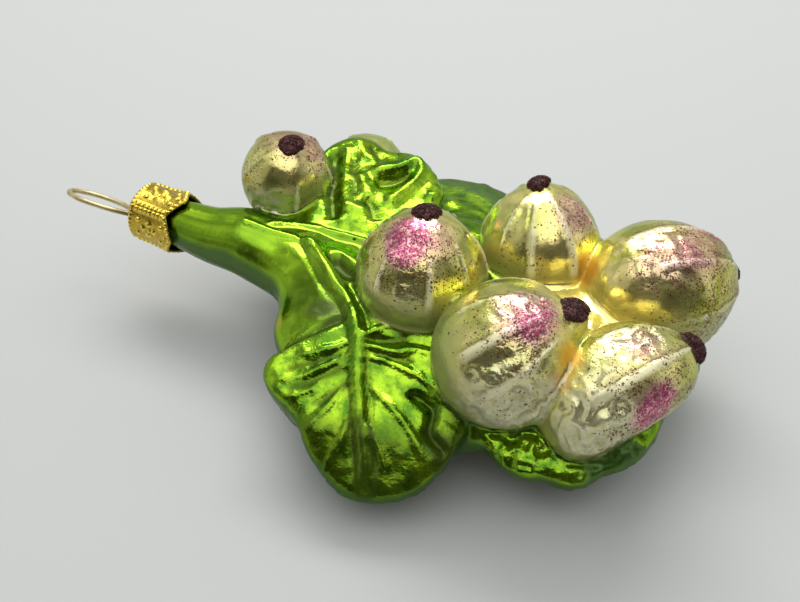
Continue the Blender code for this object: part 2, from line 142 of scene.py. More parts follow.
def unit_rows(vectors):
    """Each row at length one."""
    return vectors / np.linalg.norm(vectors, axis=1, keepdims=True)


def melt(a, b, width):
    """Smooth minimum: the smaller field, rounded off where the two are within width."""
    mix = np.clip(0.5 + 0.5 * (b - a) / width, 0.0, 1.0)
    return b * (1 - mix) + a * mix - width * mix * (1 - mix)


def smoothstep(low, high, value):
    """Rises from 0 at low to 1 at high, level at both ends."""
    t = np.clip((value - low) / (high - low), 0.0, 1.0)
    return t * t * (3 - 2 * t)


def bell(off, width):
    """The bell curve exp(-(off / width)^2)."""
    return np.exp(-(off / width) ** 2)


def ellipsoid_field(local, radii):
    """Near distance to an ellipsoid: k0 (k0 - 1) / k1, with k0 = |p / r| and k1 = |p / r^2|."""
    k0 = np.sqrt(((local / radii) ** 2).sum(-1)) + 1e-9
    k1 = np.sqrt(((local / np.square(radii)) ** 2).sum(-1)) + 1e-9
    return k0 * (k0 - 1) / k1


def berry_axes(direction):
    """Rows: the blossom axis, the square direction nearest the front, and their cross."""
    axis = unit(direction)
    front = unit((0.0, -1.0, 0.6))
    first = unit(front - axis * (front @ axis))
    return np.array([axis, first, np.cross(axis, first)])


def berry_field(points, name):
    """A berry narrowed towards its blossom, melted into the calyx stub."""
    center, direction, half_length, radius, taper = BERRIES[name]
    local = (points - np.array(center)) @ berry_axes(direction).T
    narrow = 1 - taper * np.clip(local[..., :1] / half_length, -1, 1)
    local = np.concatenate([local[..., :1], local[..., 1:] / narrow], -1)
    fruit = ellipsoid_field(local, np.array([half_length, radius, radius]))
    if name in FLATTENED:
        spot, facing = FLATTENED[name]
        fruit = -melt(-fruit, -((points - np.array(spot)) @ unit(facing)), FLAT_MELT)
    foot, top = calyx_ends(name)
    stub_radius = CALYXES[name][2]
    return melt(fruit, limb_field(points, foot, top, stub_radius, stub_radius), CALYX_MELT)


def calyx_ends(name):
    """The middles of the balls that round off a calyx stub."""
    center, direction, half_length = BERRIES[name][:3]
    stub_direction, height, stub_radius = CALYXES[name]
    blossom = np.array(center) + unit(direction) * half_length
    top = blossom + unit(stub_direction) * (height - stub_radius)
    return top - unit(stub_direction) * CALYX_FOOT, top


def pad_field(points, center, radii, turn):
    """An ellipsoid with level axes turned about the vertical."""
    c, s = np.cos(np.radians(turn)), np.sin(np.radians(turn))
    local = (points - np.array(center)) @ np.array([[c, -s, 0], [s, c, 0], [0, 0, 1]])
    return ellipsoid_field(local, np.array(radii))


def closed_curve(values, turns):
    """A closed Catmull-Rom curve through evenly spaced values, read at turns from 0 to 1."""
    values = np.asarray(values, float)
    along = (turns * len(values)) % len(values)
    first = np.floor(along).astype(int) % len(values)
    t = along - np.floor(along)
    v0, v1, v2, v3 = (values[(first + k) % len(values)] for k in (-1, 0, 1, 2))
    return v1 + 0.5 * t * (v2 - v0 + t * (2 * v0 - 5 * v1 + 4 * v2 - v3 + t * (3 * (v1 - v2) + v3 - v0)))


def leaf_field(points, leaf):
    """Inside the outline, below the top and above the underside, with rounded edges."""
    center, radii, top, slope, bottom, fall = leaf
    along, heights = zip(*top)
    x, y = points[..., 0] - center[0], points[..., 1] - center[1]
    reach = np.hypot(x, y)
    outline = closed_curve(radii, np.arctan2(y, x) / (2 * np.pi))
    part = (reach / np.maximum(outline, 1.0)) ** 2
    roof = np.interp(points[..., 1], along, heights) + slope * x - fall * part
    over = points[..., 2] - roof
    under = bottom + np.maximum(roof - LEAF_RIM - bottom, 0.0) * np.minimum(part, 1.2) ** 1.5 - points[..., 2]
    edge = -melt(-(reach - outline) * 0.9, -over * 0.85, LEAF_EDGE_MELT)
    return -melt(-edge, -under * 0.9, LEAF_UNDER_MELT)


def limb_field(points, start, end, start_radius, end_radius):
    """Distance to a straight limb whose radius changes evenly from start to end."""
    start, end = np.array(start), np.array(end)
    run = end - start
    along = np.clip(((points - start) @ run) / (run @ run), 0.0, 1.0)
    off = np.linalg.norm(points - start - along[..., None] * run, axis=-1)
    return off - (start_radius + (end_radius - start_radius) * along)


def smooth_line(points, steps):
    """A Catmull-Rom curve through the points, as an array with steps points to each span."""
    points = np.asarray(points, float)
    points = np.vstack([2 * points[0] - points[1], points, 2 * points[-1] - points[-2]])
    t = np.arange(steps)[:, None] / steps
    spans = [p1 + 0.5 * t * (p2 - p0 + t * (2 * p0 - 5 * p1 + 4 * p2 - p3 + t * (3 * (p1 - p2) + p3 - p0)))
             for p0, p1, p2, p3 in zip(points, points[1:], points[2:], points[3:])]
    return np.vstack(spans + [points[-2:-1]])


def stem_field(points):
    """Distance to the stem's bent axis less its radius; the axis runs steadily along X."""
    axis = smooth_line([(*point, radius) for point, radius in STEM], 40)
    tangents = unit_rows(np.gradient(axis[:, :3], axis=0))
    x = np.clip(points[..., 0], axis[0, 0] - 20, axis[-1, 0])
    nearest = np.stack([x] + [np.interp(x, axis[:, 0], axis[:, k]) for k in (1, 2)], -1)
    before = np.minimum(x - axis[0, 0], 0.0)[..., None]
    nearest += before * tangents[0] / tangents[0, 0] * (0, 1, 1)
    along = np.stack([np.interp(x, axis[:, 0], tangents[:, k]) for k in range(3)], -1)
    local = points - nearest
    fade = 1 - smoothstep(axis[-1, 0] - 6, axis[-1, 0], x)
    local = local - along * ((local * along).sum(-1) * fade)[..., None]
    return np.linalg.norm(local, axis=-1) - np.interp(x, axis[:, 0], axis[:, 3])


def green_field(points):
    """Stem, web and leaves melted together."""
    field = stem_field(points)
    mouth = np.array(STEM[0][0])
    outward = unit(mouth - np.array(STEM[1][0]))
    field = -melt(-field, -((points - mouth) @ outward), MOUTH_MELT)
    for *pad, softness in PADS:
        field = melt(field, pad_field(points, *pad), softness)
    for leaf in LEAVES.values():
        field = melt(field, leaf_field(points, leaf), LEAF_MELT)
    return field


def fruit_fields(points):
    """One row for each berry, in the order of BERRIES."""
    return np.array([berry_field(points, name) for name in BERRIES])


def glass_field(points):
    """The whole bubble: negative inside, near the distance in mm close to the glass."""
    field = green_field(points)
    for name, fruit in zip(BERRIES, fruit_fields(points)):
        field = melt(field, fruit, UNDERSIDE_MELT if name in UNDERSIDE else BERRY_MELT)
    return field


# Raised lines of the mould: points from above, half width, height, and how much of the
# height is left at the end.
RIDGES = (
    (((-26.0, 9.0), (-22.0, 10.4), (-18.8, 10.9), (-13.3, 11.0), (-5, 10.0)), 0.5, 0.7, 0.9),
    (((-31, 9.4), (-25.3, 7.8), (-19.5, 6.6), (-16.0, 5.2)), 0.6, 0.6, 1.0),
    # left half of the front leaf
    (((-5.6, -13.0), (-7.1, -14.2), (-9.7, -15.2), (-12.0, -15.9), (-16, -16.8)), 0.5, 0.6, 0.3),
    (((-5.0, -14.8), (-6.6, -16.1), (-9.2, -17.8), (-12.4, -19.4), (-17, -20.4)), 0.5, 0.6, 0.3),
    (((-4.8, -16.3), (-6.3, -17.6), (-8.8, -19.6), (-11.5, -21.7), (-15.5, -23)), 0.5, 0.6, 0.3),
    (((-4.2, -18.8), (-5.7, -20.4), (-7.1, -22.9), (-8.8, -25.1), (-10.8, -27.2)), 0.5, 0.6, 0.5),
    (((-3.2, -23.5), (-4.5, -27.7), (-5.5, -29.4), (-6.8, -32.5)), 0.45, 0.6, 0.8),
    # right half of the front leaf
    (((-4.2, -12.2), (-3.1, -11.6), (-1.6, -10.5), (0.5, -9.2)), 0.6, 0.7, 0.5),
    (((-3.6, -13.4), (-2.4, -13.7), (1.1, -13.9), (5.0, -12.9), (8, -13.5)), 0.6, 0.8, 0.6),
    (((-3.2, -15.0), (-2.2, -15.3), (0.6, -15.6), (4.2, -16.6), (7.6, -17.8), (11.2, -20.5)), 0.5, 0.7, 0.6),
    (((-2.4, -19.2), (0.6, -21), (3.8, -23.3), (6.8, -26.2), (9.0, -29)), 0.5, 0.6, 0.6),
    (((-0.9, -25.2), (0.9, -27.5), (3.4, -30.8)), 0.45, 0.6, 0.8),
    # upper leaf
    (((-10.8, 26.4), (-8.1, 27.4), (-4.9, 28.8), (-2.8, 31.2), (-1.3, 29.8), (-1.5, 27.2), (-3.4, 23.4),
      (-6.2, 18.8)), 1.1, 1.3, 0.9),
    (((-15.9, 33.5), (-15.3, 29.0), (-14.7, 24.0)), 1.0, 0.5, 0.9),
    (((-14.4, 35.8), (-12.2, 32.2), (-10.3, 29.8)), 1.2, 0.5, 0.9),
    (((-12.4, 26.0), (-10.7, 23.3), (-9.2, 20.0)), 1.1, 0.6, 0.9),
    (((-14.0, 17.5), (-11.5, 16.8), (-9.0, 16.6)), 1.1, 0.4, 0.9),
    # the leaf behind the fruit
    (((0.5, 22.0), (4.2, 27.3), (7.0, 31.0), (9.0, 36.0)), 1.0, 0.7, 0.5),
    (((3.0, 29.4), (7.6, 27.2), (12.0, 25.3)), 2.0, 1.2, 0.9),
)
GROOVES = (
    # the front leaf's edge against the web, and its turned-over right edge
    (((-7.4, -8.6), (-8.4, -9.7), (-10.6, -11.2), (-13.7, -13.0), (-18.5, -15.5)), 0.8, 0.8, 0.7),
    (((4.4, -19.6), (7.3, -20.5), (9.1, -21.9), (9.0, -24.8), (10.7, -26.5), (12.5, -27.5)), 0.75, 1.1, 1.0),
    (((-6.2, -15.5), (-8.6, -16.6), (-12.0, -17.7), (-15.5, -18.6)), 0.6, 0.45, 0.4),
    (((-5.8, -17.2), (-8.2, -18.9), (-11.6, -20.6), (-14.5, -21.7)), 0.6, 0.45, 0.4),
    (((-4.9, -19.6), (-7.0, -21.4), (-9.4, -23.6)), 0.6, 0.5, 0.5),
    (((-2.8, -12.6), (0.0, -12.3), (3.4, -11.2)), 0.7, 0.7, 0.6),
    (((-2.2, -14.5), (1.6, -15.0), (5.2, -14.9)), 0.5, 0.45, 0.6),
    # upper leaf
    (((-18.2, 32.5), (-17.2, 26.5), (-15.9, 19.5), (-14.4, 13.5)), 1.4, 1.6, 0.8),
    (((-8.9, 24.0), (-5.5, 25.4), (-3.0, 27.9)), 1.4, 1.3, 0.9),
    (((-14.2, 31.5), (-13.2, 26.0), (-11.6, 19.5)), 1.0, 0.4, 0.7),
    (((-9.6, 19.8), (-8.0, 17.2), (-6.9, 15.0)), 1.1, 0.7, 0.8),
    (((-11.6, 34.5), (-10.3, 32.2), (-8.6, 30.4)), 1.0, 0.7, 0.8),
)
# Where each colour was sprayed: berry, azimuth and angle from its blossom axis, reach in
# degrees and strength.
BLUSH = (
    ("c", -26, 33, 30, 1.0), ("c", -18, 50, 22, 0.8), ("c", 10, 30, 36, 0.45), ("e", -35, 44, 36, 0.52),
    ("e", -20, 44, 20, 0.4), ("e", -38, 25, 16, 0.3), ("f", 10, 74, 23, 1.0), ("f", 20, 82, 23, 1.0),
    ("f", -45, 62, 26, 0.35), ("g", -40, 92, 40, 0.4), ("g", -36, 66, 34, 0.3), ("a", 180, 40, 80, 0.5),
    ("d", 62, 45, 34, 0.5), ("g", -82, 50, 34, 0.6),
)
SPECKLES = (
    ("c", -25, 45, 60, 0.8), ("c", 20, 60, 55, 0.6), ("c", -8, 66, 32, 1.0), ("e", -30, 60, 55, 0.5),
    ("e", -5, 60, 26, 1.0), ("f", 8, 72, 60, 0.6), ("f", -6, 75, 24, 1.0), ("f", 16, 85, 34, 0.9),
    ("g", -20, 60, 90, 0.6), ("g", -25, 76, 32, 1.0), ("g", -30, 100, 30, 1.0), ("g", -66, 52, 34, 1.0),
    ("d", 60, 50, 50, 0.4), ("d", 10, 75, 45, 0.2), ("a", -70, 60, 60, 0.7), ("a", 150, 50, 60, 0.7),
    ("g", -70, 50, 80, 0.5), ("d", -20, 80, 40, 0.2), ("c", 60, 60, 60, 0.3), ("e", 20, 80, 40, 0.2),
    ("f", -30, 60, 60, 0.5), ("f", 40, 100, 50, 0.5), ("a", 60, 40, 60, 0.35), ("g", 35, 62, 50, 0.9),
    ("g", 0, 50, 40, 0.8),
)
PEARL = (
    ("e", 22, 92, 54, 0.9), ("e", 50, 78, 36, 0.7), ("f", -15, 118, 46, 0.9), ("f", 10, 112, 38, 0.8),
    ("f", 22, 135, 30, 0.8), ("f", -50, 66, 36, 0.5), ("a", -5, 104, 50, 0.9), ("g", 45, 60, 34, 0.35),
    ("g", -38, 100, 34, 0.35), ("c", -5, 84, 20, 0.4), ("e", -42, 48, 26, 0.6),
)
LIME = (
    ("g", -30, 60, 34, 0.9), ("g", -55, 92, 30, 1.0), ("g", -62, 120, 26, 1.0), ("g", 10, 68, 30, 1.0),
    ("e", -60, 80, 30, 0.6), ("f", -70, 62, 22, 0.7), ("d", -12, 42, 18, 0.5), ("c", 50, 76, 24, 0.7),
)
# Orange lacquer left in the creases of the cluster: spots and how far each reaches.
AMBER = (
    (11.5, 6.5, 25.0, 3.6), (30.9, 4.8, 25.5, 3.8), (28.6, -19.8, 30.2, 3.2), (27.7, -22.6, 28.0, 2.8),
    (-20.8, -9.0, 19.0, 3.0), (29.0, -17.5, 26.5, 4.0),
)
# The round of the fruit cluster from above, where the creases are champagne too: middle
# and radius.
CLUSTER = (31.0, -3.0, 14.0)
# The leaf stalk and midrib, and its half width at the stalk and at the leaf's tip.
MIDRIB = ((-16.8, 6.4), (-14.0, 2.2), (-11.2, -2.0), (-8.0, -5.4), (-6.0, -9.2), (-4.6, -13.0),
          (-4.1, -16.5), (-2.9, -21.4), (-1.6, -26.1), (-0.6, -29.0), (0.3, -32.6))
MIDRIB_HALF, MIDRIB_TIP_HALF = 1.15, 0.65
# The hollow beside the stalk: middle, turn in degrees, half length, half width and depth.
POCKET = ((-10.2, 2.0), -42.0, 3.4, 1.5)
POCKET_DEPTH = 2.2
# Level patches of painted shade on the green, two on the web by the stalk and one in the gap between the
# front and lower leaves: middle, then reach along X and Y.
SHADE_PATCHES = ((-13.5, -5.0, 5.5, 5.0), (-10.6, -8.4, 4.0, 2.6), (13.0, -25.0, 4.0, 5.0))
SHADE_PATCH_STRENGTH = 0.62
# The crumples of each leaf: their size and height.
CRUMPLES = {"front": (3.2, 0.26), "upper": (4.2, 0.10), "back": (4.0, 0.15), "lower": (2.6, 0.36)}
# Waves of the mould on the green and on the berries: size, height and seed, and for the
# green the places along X where they start and are full.
GREEN_WAVES = ((1.9, 0.07, 22, -26.0, -16.0), (6.0, 0.22, 21, -30.0, -15.0))
BERRY_WAVES = ((4.0, 0.10, 31), (1.6, 0.04, 32))
WRINKLE_SIZE, WRINKLE_HEIGHT = 2.3, 0.48
STROKE_HEIGHT, SWELL_HEIGHT, STROKE_EDGE_DEPTH = 0.20, 0.24, 0.16
FAN_HEIGHT, FAN_RIBS = 0.45, 7
SEAM_HEIGHT, SEAM_WIDTH = 0.22, 0.22
# Along X, where the plain ground end of the neck passes into the moulded stem.
PLAIN_NECK, MOULDED_STEM = -44.0, -40.0


def near_line(spots, line):
    """Distance of each spot to a bent line, and the part of the line's length where that is."""
    line = smooth_line(line, 5)
    runs = np.diff(line, axis=0)
    lengths = np.linalg.norm(runs, axis=1)
    before = np.concatenate([[0.0], np.cumsum(lengths)[:-1]])
    best = np.full(len(spots), np.inf)
    where = np.zeros(len(spots))
    for start, run, length, passed in zip(line, runs, lengths, before):
        along = np.clip(((spots - start) @ run) / length ** 2, 0.0, 1.0)
        off = np.linalg.norm(spots - start - along[:, None] * run, axis=1)
        closer = off < best
        best = np.where(closer, off, best)
        where = np.where(closer, (passed + along * length) / lengths.sum(), where)
    return best, where


def line_relief(spots, line, half_width, height, rest):
    """A bell curve across a line, falling evenly to rest of its height along it."""
    points = np.asarray(line)
    rise = np.zeros(len(spots))
    reach = 3.5 * half_width
    near = ((spots > points.min(0) - reach) & (spots < points.max(0) + reach)).all(1)
    off, where = near_line(spots[near], line)
    ends = smoothstep(-0.02, 0.12, where) * (1 - smoothstep(0.92, 1.02, where))
    rise[near] = height * (1 + (rest - 1) * where) * ends * bell(off, half_width)
    return rise


def pocket_depth(spots):
    """exp(-(u^4 + v^4)) along and across the hollow beside the stalk: 1 inside, 0 outside."""
    middle, turn, long, wide = POCKET
    c, s = np.cos(np.radians(turn)), np.sin(np.radians(turn))
    off = (spots - np.array(middle)) @ np.array([[c, -s], [s, c]])
    return np.exp(-((off[:, 0] / long) ** 4 + (off[:, 1] / wide) ** 4))


def noise(points, size, seed):
    """Smooth gradient noise between about -1 and 1, with cells of the given size."""
    rng = np.random.default_rng(seed)
    slopes = rng.normal(size=(256, 3))
    slopes /= np.linalg.norm(slopes, axis=1, keepdims=True)
    shuffle = rng.permutation(256)
    place = points / size
    cell = np.floor(place).astype(int)
    inside = place - cell
    ease = inside ** 3 * (inside * (inside * 6 - 15) + 10)
    total = np.zeros(len(points))
    for corner in np.ndindex(2, 2, 2):
        at = cell + np.array(corner)
        index = shuffle[(shuffle[(shuffle[at[:, 0] % 256] + at[:, 1]) % 256] + at[:, 2]) % 256]
        weight = np.prod(np.where(np.array(corner) == 1, ease, 1 - ease), axis=1)
        total += weight * ((inside - np.array(corner)) * slopes[index]).sum(1)
    return total * 1.6


def seam_height(points):
    """Height of the parting plane: level with the neck's axis, lower towards the front leaf."""
    x, y = points[:, 0], points[:, 1]
    return 13.2 + 0.08 * np.maximum(-x, 0) + np.where(y < 0, 0.19, 0.10) * y + 0.04 * np.maximum(x, 0)


def berry_coordinates(points, name):
    """Angle from the blossom axis, azimuth from the front, and distance off the axis."""
    center, direction, half_length, radius, _ = BERRIES[name]
    local = (points - np.array(center)) @ berry_axes(direction).T
    off_axis = np.hypot(local[:, 1], local[:, 2])
    angle = np.degrees(np.arctan2(off_axis / radius, local[:, 0] / half_length))
    azimuth = np.degrees(np.arctan2(local[:, 2], local[:, 1]))
    return angle, azimuth, off_axis


def berry_veins(points, name):
    """Shares from 0 to 1: each vein's cream stroke, the swell under it, and a line by its upper edge, sunk a
    little in the relief and darkened as painted shade.
    """
    angle, azimuth, off_axis = berry_coordinates(points, name)
    stroke, swell, line = np.zeros((3, len(points)))
    for vein, start, end, half_width in VEINS[name]:
        turn = np.radians((azimuth - vein + 180) % 360 - 180)
        off = np.where(np.abs(turn) < 1.5, off_axis * np.abs(np.sin(turn)), 9.0)
        along = np.clip((angle - start) / (end - start), 0, 1)
        width = half_width * (0.35 + 0.65 * smoothstep(0.0, 0.7, along))
        ends = smoothstep(start - 4, start + 4, angle) * (1 - smoothstep(end - 10, end + 4, angle))
        stroke = np.maximum(stroke, np.exp(-(off / width) ** 6) * ends)
        reach = smoothstep(start - 20, start + 10, angle) * (1 - smoothstep(end, end + 25, angle))
        swell = np.maximum(swell, bell(off, 2.2 * half_width + 0.3) * reach)
        edge = off_axis * np.sin(np.clip(turn, -1.5, 1.5)) + width + 0.22
        line = np.maximum(line, bell(edge, 0.22) * ends)
    return stroke, swell, line


def leaf_share(points, name):
    """1 well inside a leaf's outline, falling to 0 just outside it."""
    center, radii = LEAVES[name][:2]
    x, y = points[:, 0] - center[0], points[:, 1] - center[1]
    outline = closed_curve(radii, np.arctan2(y, x) / (2 * np.pi))
    return 1 - smoothstep(-1.5, 1.0, np.hypot(x, y) - outline)


def sprayed(points, spots):
    """Sum of soft round patches on the berries, at most 1."""
    total = np.zeros(len(points))
    for name, azimuth, angle, reach, strength in spots:
        seen_angle, seen_azimuth, _ = berry_coordinates(points, name)
        a, b = np.radians(seen_angle), np.radians(angle)
        near = np.cos(a) * np.cos(b) + np.sin(a) * np.sin(b) * np.cos(np.radians(seen_azimuth - azimuth))
        away = np.degrees(np.arccos(np.clip(near, -1, 1)))
        own = berry_field(points, name) < 0.6
        total += strength * own * (1 - smoothstep(0.25, 1.0, away / reach))
    return np.minimum(total, 1.0)


def midrib_place(spots):
    """Distance from the midrib, the part of its length passed, and its half width there."""
    off, where = near_line(spots, MIDRIB)
    return off, where, MIDRIB_HALF + (MIDRIB_TIP_HALF - MIDRIB_HALF) * where


def midrib_relief(spots):
    """A rounded rib with a fine crest and low edges, between two shallow gutters."""
    off, where, half = midrib_place(spots)
    rib = (1 - smoothstep(0.0, half + 0.9, off)) * 0.75 + 0.14 * bell(off, 0.3)
    edges = 0.10 * bell(off - half, 0.25) - 0.25 * bell(off - half - 0.9, 0.45)
    return (rib + edges) * (1 - smoothstep(0.93, 1.02, where))


def leaf_crumple(points):
    """In each leaf, sharp folds where smooth noise is 0, broken up by noise half the size."""
    rise = np.zeros(len(points))
    for seed, (name, (size, height)) in enumerate(CRUMPLES.items()):
        folds = 0.75 - 2.2 * np.abs(noise(points, size, seed)) + 0.5 * noise(points, size / 2.2, seed + 10)
        rise += height * folds * leaf_share(points, name)
    on_front_leaf = (points[:, 0] < 14) & (points[:, 1] < 0)
    return rise * np.where(on_front_leaf, 0.6 - 0.3 * smoothstep(-18.0, -26.0, points[:, 1]), 1.0)


def relief(points):
    """How far the mould's detail stands proud of the plain bubble at each point, in mm."""
    above = points[:, 2] - seam_height(points)
    front, under = smoothstep(0.3, 2.0, above), smoothstep(0.3, 2.0, -above)
    spots = points[:, :2]
    fruits = fruit_fields(points)
    nearest = fruits.min(0)
    green = smoothstep(0.1, 0.7, nearest)

    rise = sum(line_relief(spots, *line) for line in RIDGES)
    rise = rise - sum(line_relief(spots, *line) for line in GROOVES)
    rise = (rise + midrib_relief(spots) - POCKET_DEPTH * pocket_depth(spots)) * front * green
    rise += leaf_crumple(points) * green * (0.35 + 0.65 * front)
    for size, height, seed, start, full in GREEN_WAVES:
        rise += height * noise(points, size, seed) * green * smoothstep(start, full, points[:, 0])
    # veins fan out over each leaf's underside from between its middle and the stem
    for name, (center, *_) in LEAVES.items():
        x, y = points[:, 0] - center[0] * 0.5, points[:, 1] - center[1] * 0.5
        fan = np.abs(np.sin(np.arctan2(y, x) * FAN_RIBS))
        rise += FAN_HEIGHT * bell(fan, 0.3) * leaf_share(points, name) * under * green

    for name, field in zip(BERRIES, fruits):
        stroke, swell, line = berry_veins(points, name)
        own = (1 - smoothstep(0.1, 0.8, field)) * (field < nearest + 0.3)
        rise += (STROKE_HEIGHT * stroke + SWELL_HEIGHT * swell - STROKE_EDGE_DEPTH * line) * own
    rise += sum(height * noise(points, size, seed) for size, height, seed in BERRY_WAVES) * (1 - green)
    wrinkles = 1 - 3.0 * np.abs(noise(points * (1.0, 1.0, 0.6), WRINKLE_SIZE, 33))
    rise += WRINKLE_HEIGHT * wrinkles * sprayed(points, PEARL) * (1 - green)
    rise += SEAM_HEIGHT * bell(above, SEAM_WIDTH) * smoothstep(PLAIN_NECK - 4, PLAIN_NECK, points[:, 0])
    return rise * smoothstep(PLAIN_NECK, MOULDED_STEM, points[:, 0])


def close_pinches(values):
    """Fills grid squares where the inside meets itself only across the diagonal."""
    for a, b in ((0, 1), (1, 2), (0, 2)) * 3:
        corners = []
        for shift_a, shift_b in ((0, 0), (1, 1), (1, 0), (0, 1)):
            cut = [slice(None)] * 3
            cut[a] = slice(shift_a, values.shape[a] - 1 + shift_a)
            cut[b] = slice(shift_b, values.shape[b] - 1 + shift_b)
            corners.append(values[tuple(cut)])
        near, far, left, right = [corner < 0 for corner in corners]
        pinched = (near == far) & (left == right) & (near != left)
        for corner in corners:
            corner[pinched] = np.minimum(corner[pinched], -0.05)


def surface_net(field, low, high, step):
    """A closed mesh round a field's zero level.

    The field is read on a grid. Each cell that the surface crosses gets one vertex, the
    mean of the crossings on its edges, and each crossed edge one face between the four
    cells round it.
    """
    axes = [np.arange(a, b + step, step) for a, b in zip(low, high)]
    shape = tuple(len(a) for a in axes)
    values = np.empty(shape)
    for i, x in enumerate(axes[0]):
        y, z = np.meshgrid(axes[1], axes[2], indexing="ij")
        values[i] = field(np.stack([np.full(y.size, x), y.ravel(), z.ravel()], -1)).reshape(y.shape)
    close_pinches(values)
    inside = values < 0
    total = np.zeros(shape + (3,))
    count = np.zeros(shape)
    crossed = []
    for axis in range(3):
        ahead = [slice(None)] * 3
        behind = [slice(None)] * 3
        ahead[axis], behind[axis] = slice(1, None), slice(None, -1)
        i, j, k = np.nonzero(inside[tuple(ahead)] != inside[tuple(behind)])
        after = [i, j, k]
        after[axis] = after[axis] + 1
        near, far = values[i, j, k], values[tuple(after)]
        spot = np.stack([i, j, k], -1).astype(float)
        spot[:, axis] += near / (near - far)
        side_a, side_b = (axis + 1) % 3, (axis + 2) % 3
        cells = []
        for back_a, back_b in ((0, 0), (1, 0), (1, 1), (0, 1)):
            cell = [i, j, k]
            cell[side_a] = cell[side_a] - back_a
            cell[side_b] = cell[side_b] - back_b
            flat = np.ravel_multi_index(cell, shape)
            np.add.at(total.reshape(-1, 3), flat, spot)
            np.add.at(count.reshape(-1), flat, 1)
            cells.append(flat)
        quads = np.stack(cells, -1)
        crossed.append(np.where((near < 0)[:, None], quads, quads[:, ::-1]))
    faces = np.vstack(crossed)
    used, faces = np.unique(faces, return_inverse=True)
    verts = total.reshape(-1, 3)[used] / count.reshape(-1)[used][:, None]
    return verts * step + np.array(low), faces.reshape(-1, 4)


def finer(verts, faces):
    """Each four-sided face becomes four, through the middles of its edges and itself."""
    edges = np.sort(np.stack([faces, np.roll(faces, -1, 1)], -1).reshape(-1, 2), axis=1)
    pairs, which = np.unique(edges, axis=0, return_inverse=True)
    which = which.reshape(-1, 4) + len(verts)
    middles = verts[pairs].mean(1)
    centers = verts[faces].mean(1)
    center = (np.arange(len(faces)) + len(verts) + len(middles))[:, None]
    before = np.roll(which, 1, axis=1)
    quads = [np.hstack([faces[:, [k]], which[:, [k]], center, before[:, [k]]]) for k in range(4)]
    return np.vstack([verts, middles, centers]), np.vstack(quads)


def field_slope(field, points, values, reach=0.05):
    """The field's gradient by a small step along each axis."""
    return np.stack([(field(points + reach * step) - values) / reach for step in np.eye(3)], -1)


def settle(field, verts, faces, rounds):
    """Spreads the vertices evenly along the surface and drops them back onto it.

    Each moves half way to the mean of its neighbours, less the part along the slope, and
    then down the slope by the field's value over the slope squared.
    """
    edges = np.unique(np.sort(np.stack([faces, np.roll(faces, -1, 1)], -1).reshape(-1, 2), axis=1), axis=0)
    links = np.bincount(edges.ravel(), minlength=len(verts))[:, None]
    for _ in range(rounds):
        values = field(verts)
        slope = field_slope(field, verts, values)
        steep = np.maximum((slope ** 2).sum(1), 0.25)
        pull = np.stack([np.bincount(edges[:, 0], verts[edges[:, 1], k], len(verts))
                         + np.bincount(edges[:, 1], verts[edges[:, 0], k], len(verts)) for k in range(3)], -1)
        drift = pull / links - verts
        drift -= slope * ((drift * slope).sum(1) / steep)[:, None]
        drop = np.clip(values / steep, -0.5, 0.5)
        verts = verts + 0.5 * drift - slope * drop[:, None]
    return verts


def hollow_glass(points):
    """The bubble less the bore that runs in from the open neck and narrows a little."""
    mouth, second = np.array(STEM[0][0]), np.array(STEM[1][0])
    inward = unit(second - mouth)
    ends = mouth - inward * 3, mouth + inward * NECK_BORE_LENGTH
    return np.maximum(glass_field(points), -limb_field(points, *ends, *NECK_BORE))


NET_STEP = 1.0
NET_LOW, NET_HIGH = (-55.0, -38.0, -1.5), (60.0, 48.0, 39.0)
glass_verts, glass_faces = surface_net(hollow_glass, NET_LOW, NET_HIGH, NET_STEP)
glass_verts = settle(hollow_glass, glass_verts, glass_faces, 4)
glass_verts, glass_faces = finer(glass_verts, glass_faces)
glass_verts = settle(hollow_glass, glass_verts, glass_faces, 3)
glass_normal = unit_rows(field_slope(hollow_glass, glass_verts, hollow_glass(glass_verts)))
glass_skin = glass_verts + glass_normal * relief(glass_verts)[:, None]
# The three undermost berries are flat where the ornament stands.
glass_skin[:, 2] = np.maximum(glass_skin[:, 2], 0.0)


def pooled_and_shaded_green(points, nearest, fruit, wander):
    """Painted shade in the green, partly lacquer gathered in the grooves: grooves, the pocket, creases round
    the fruit, the web and the leaf's tip are darkened.

    Each is a bell curve or a patch with its own weight, and the sum is held at 1.
    """
    spots = points[:, :2]
    # painted shade in the grooves, the pocket and beside the midrib, where some lacquer also gathers
    deep = sum(line_relief(spots, line, half_width, 1.0, 1.0) for line, half_width, *_ in GROOVES)
    off, where, half = midrib_place(spots)
    deep += 1.6 * pocket_depth(spots) + 0.6 * bell(off, 0.4) * smoothstep(0.55, 0.75, where)
    deep += 0.8 * bell(off - half - 0.75, 0.4) * smoothstep(0.35, 0.5, where)
    # painted shade in the creases where the green meets the fruit
    crease = bell(np.maximum(nearest, 0.0), 0.9) * (1 - fruit)
    # painted shade patches on the web and between the lower leaves
    web = sum(SHADE_PATCH_STRENGTH * np.exp(-np.hypot((spots[:, 0] - x) / a, (spots[:, 1] - y) / b) ** 4)
              for x, y, a, b in SHADE_PATCHES)
    # painted shade and dark reflection on the front leaf's tip
    tip = smoothstep(-23.0, -27.0, points[:, 1] + 2.5 * wander) * smoothstep(15.0, 11.0, points[:, 0])
    above = points[:, 2] > seam_height(points)
    return np.clip((0.8 * deep + 0.9 * crease + 0.6 * tip) * above + web, 0, 1) * (1 - fruit)


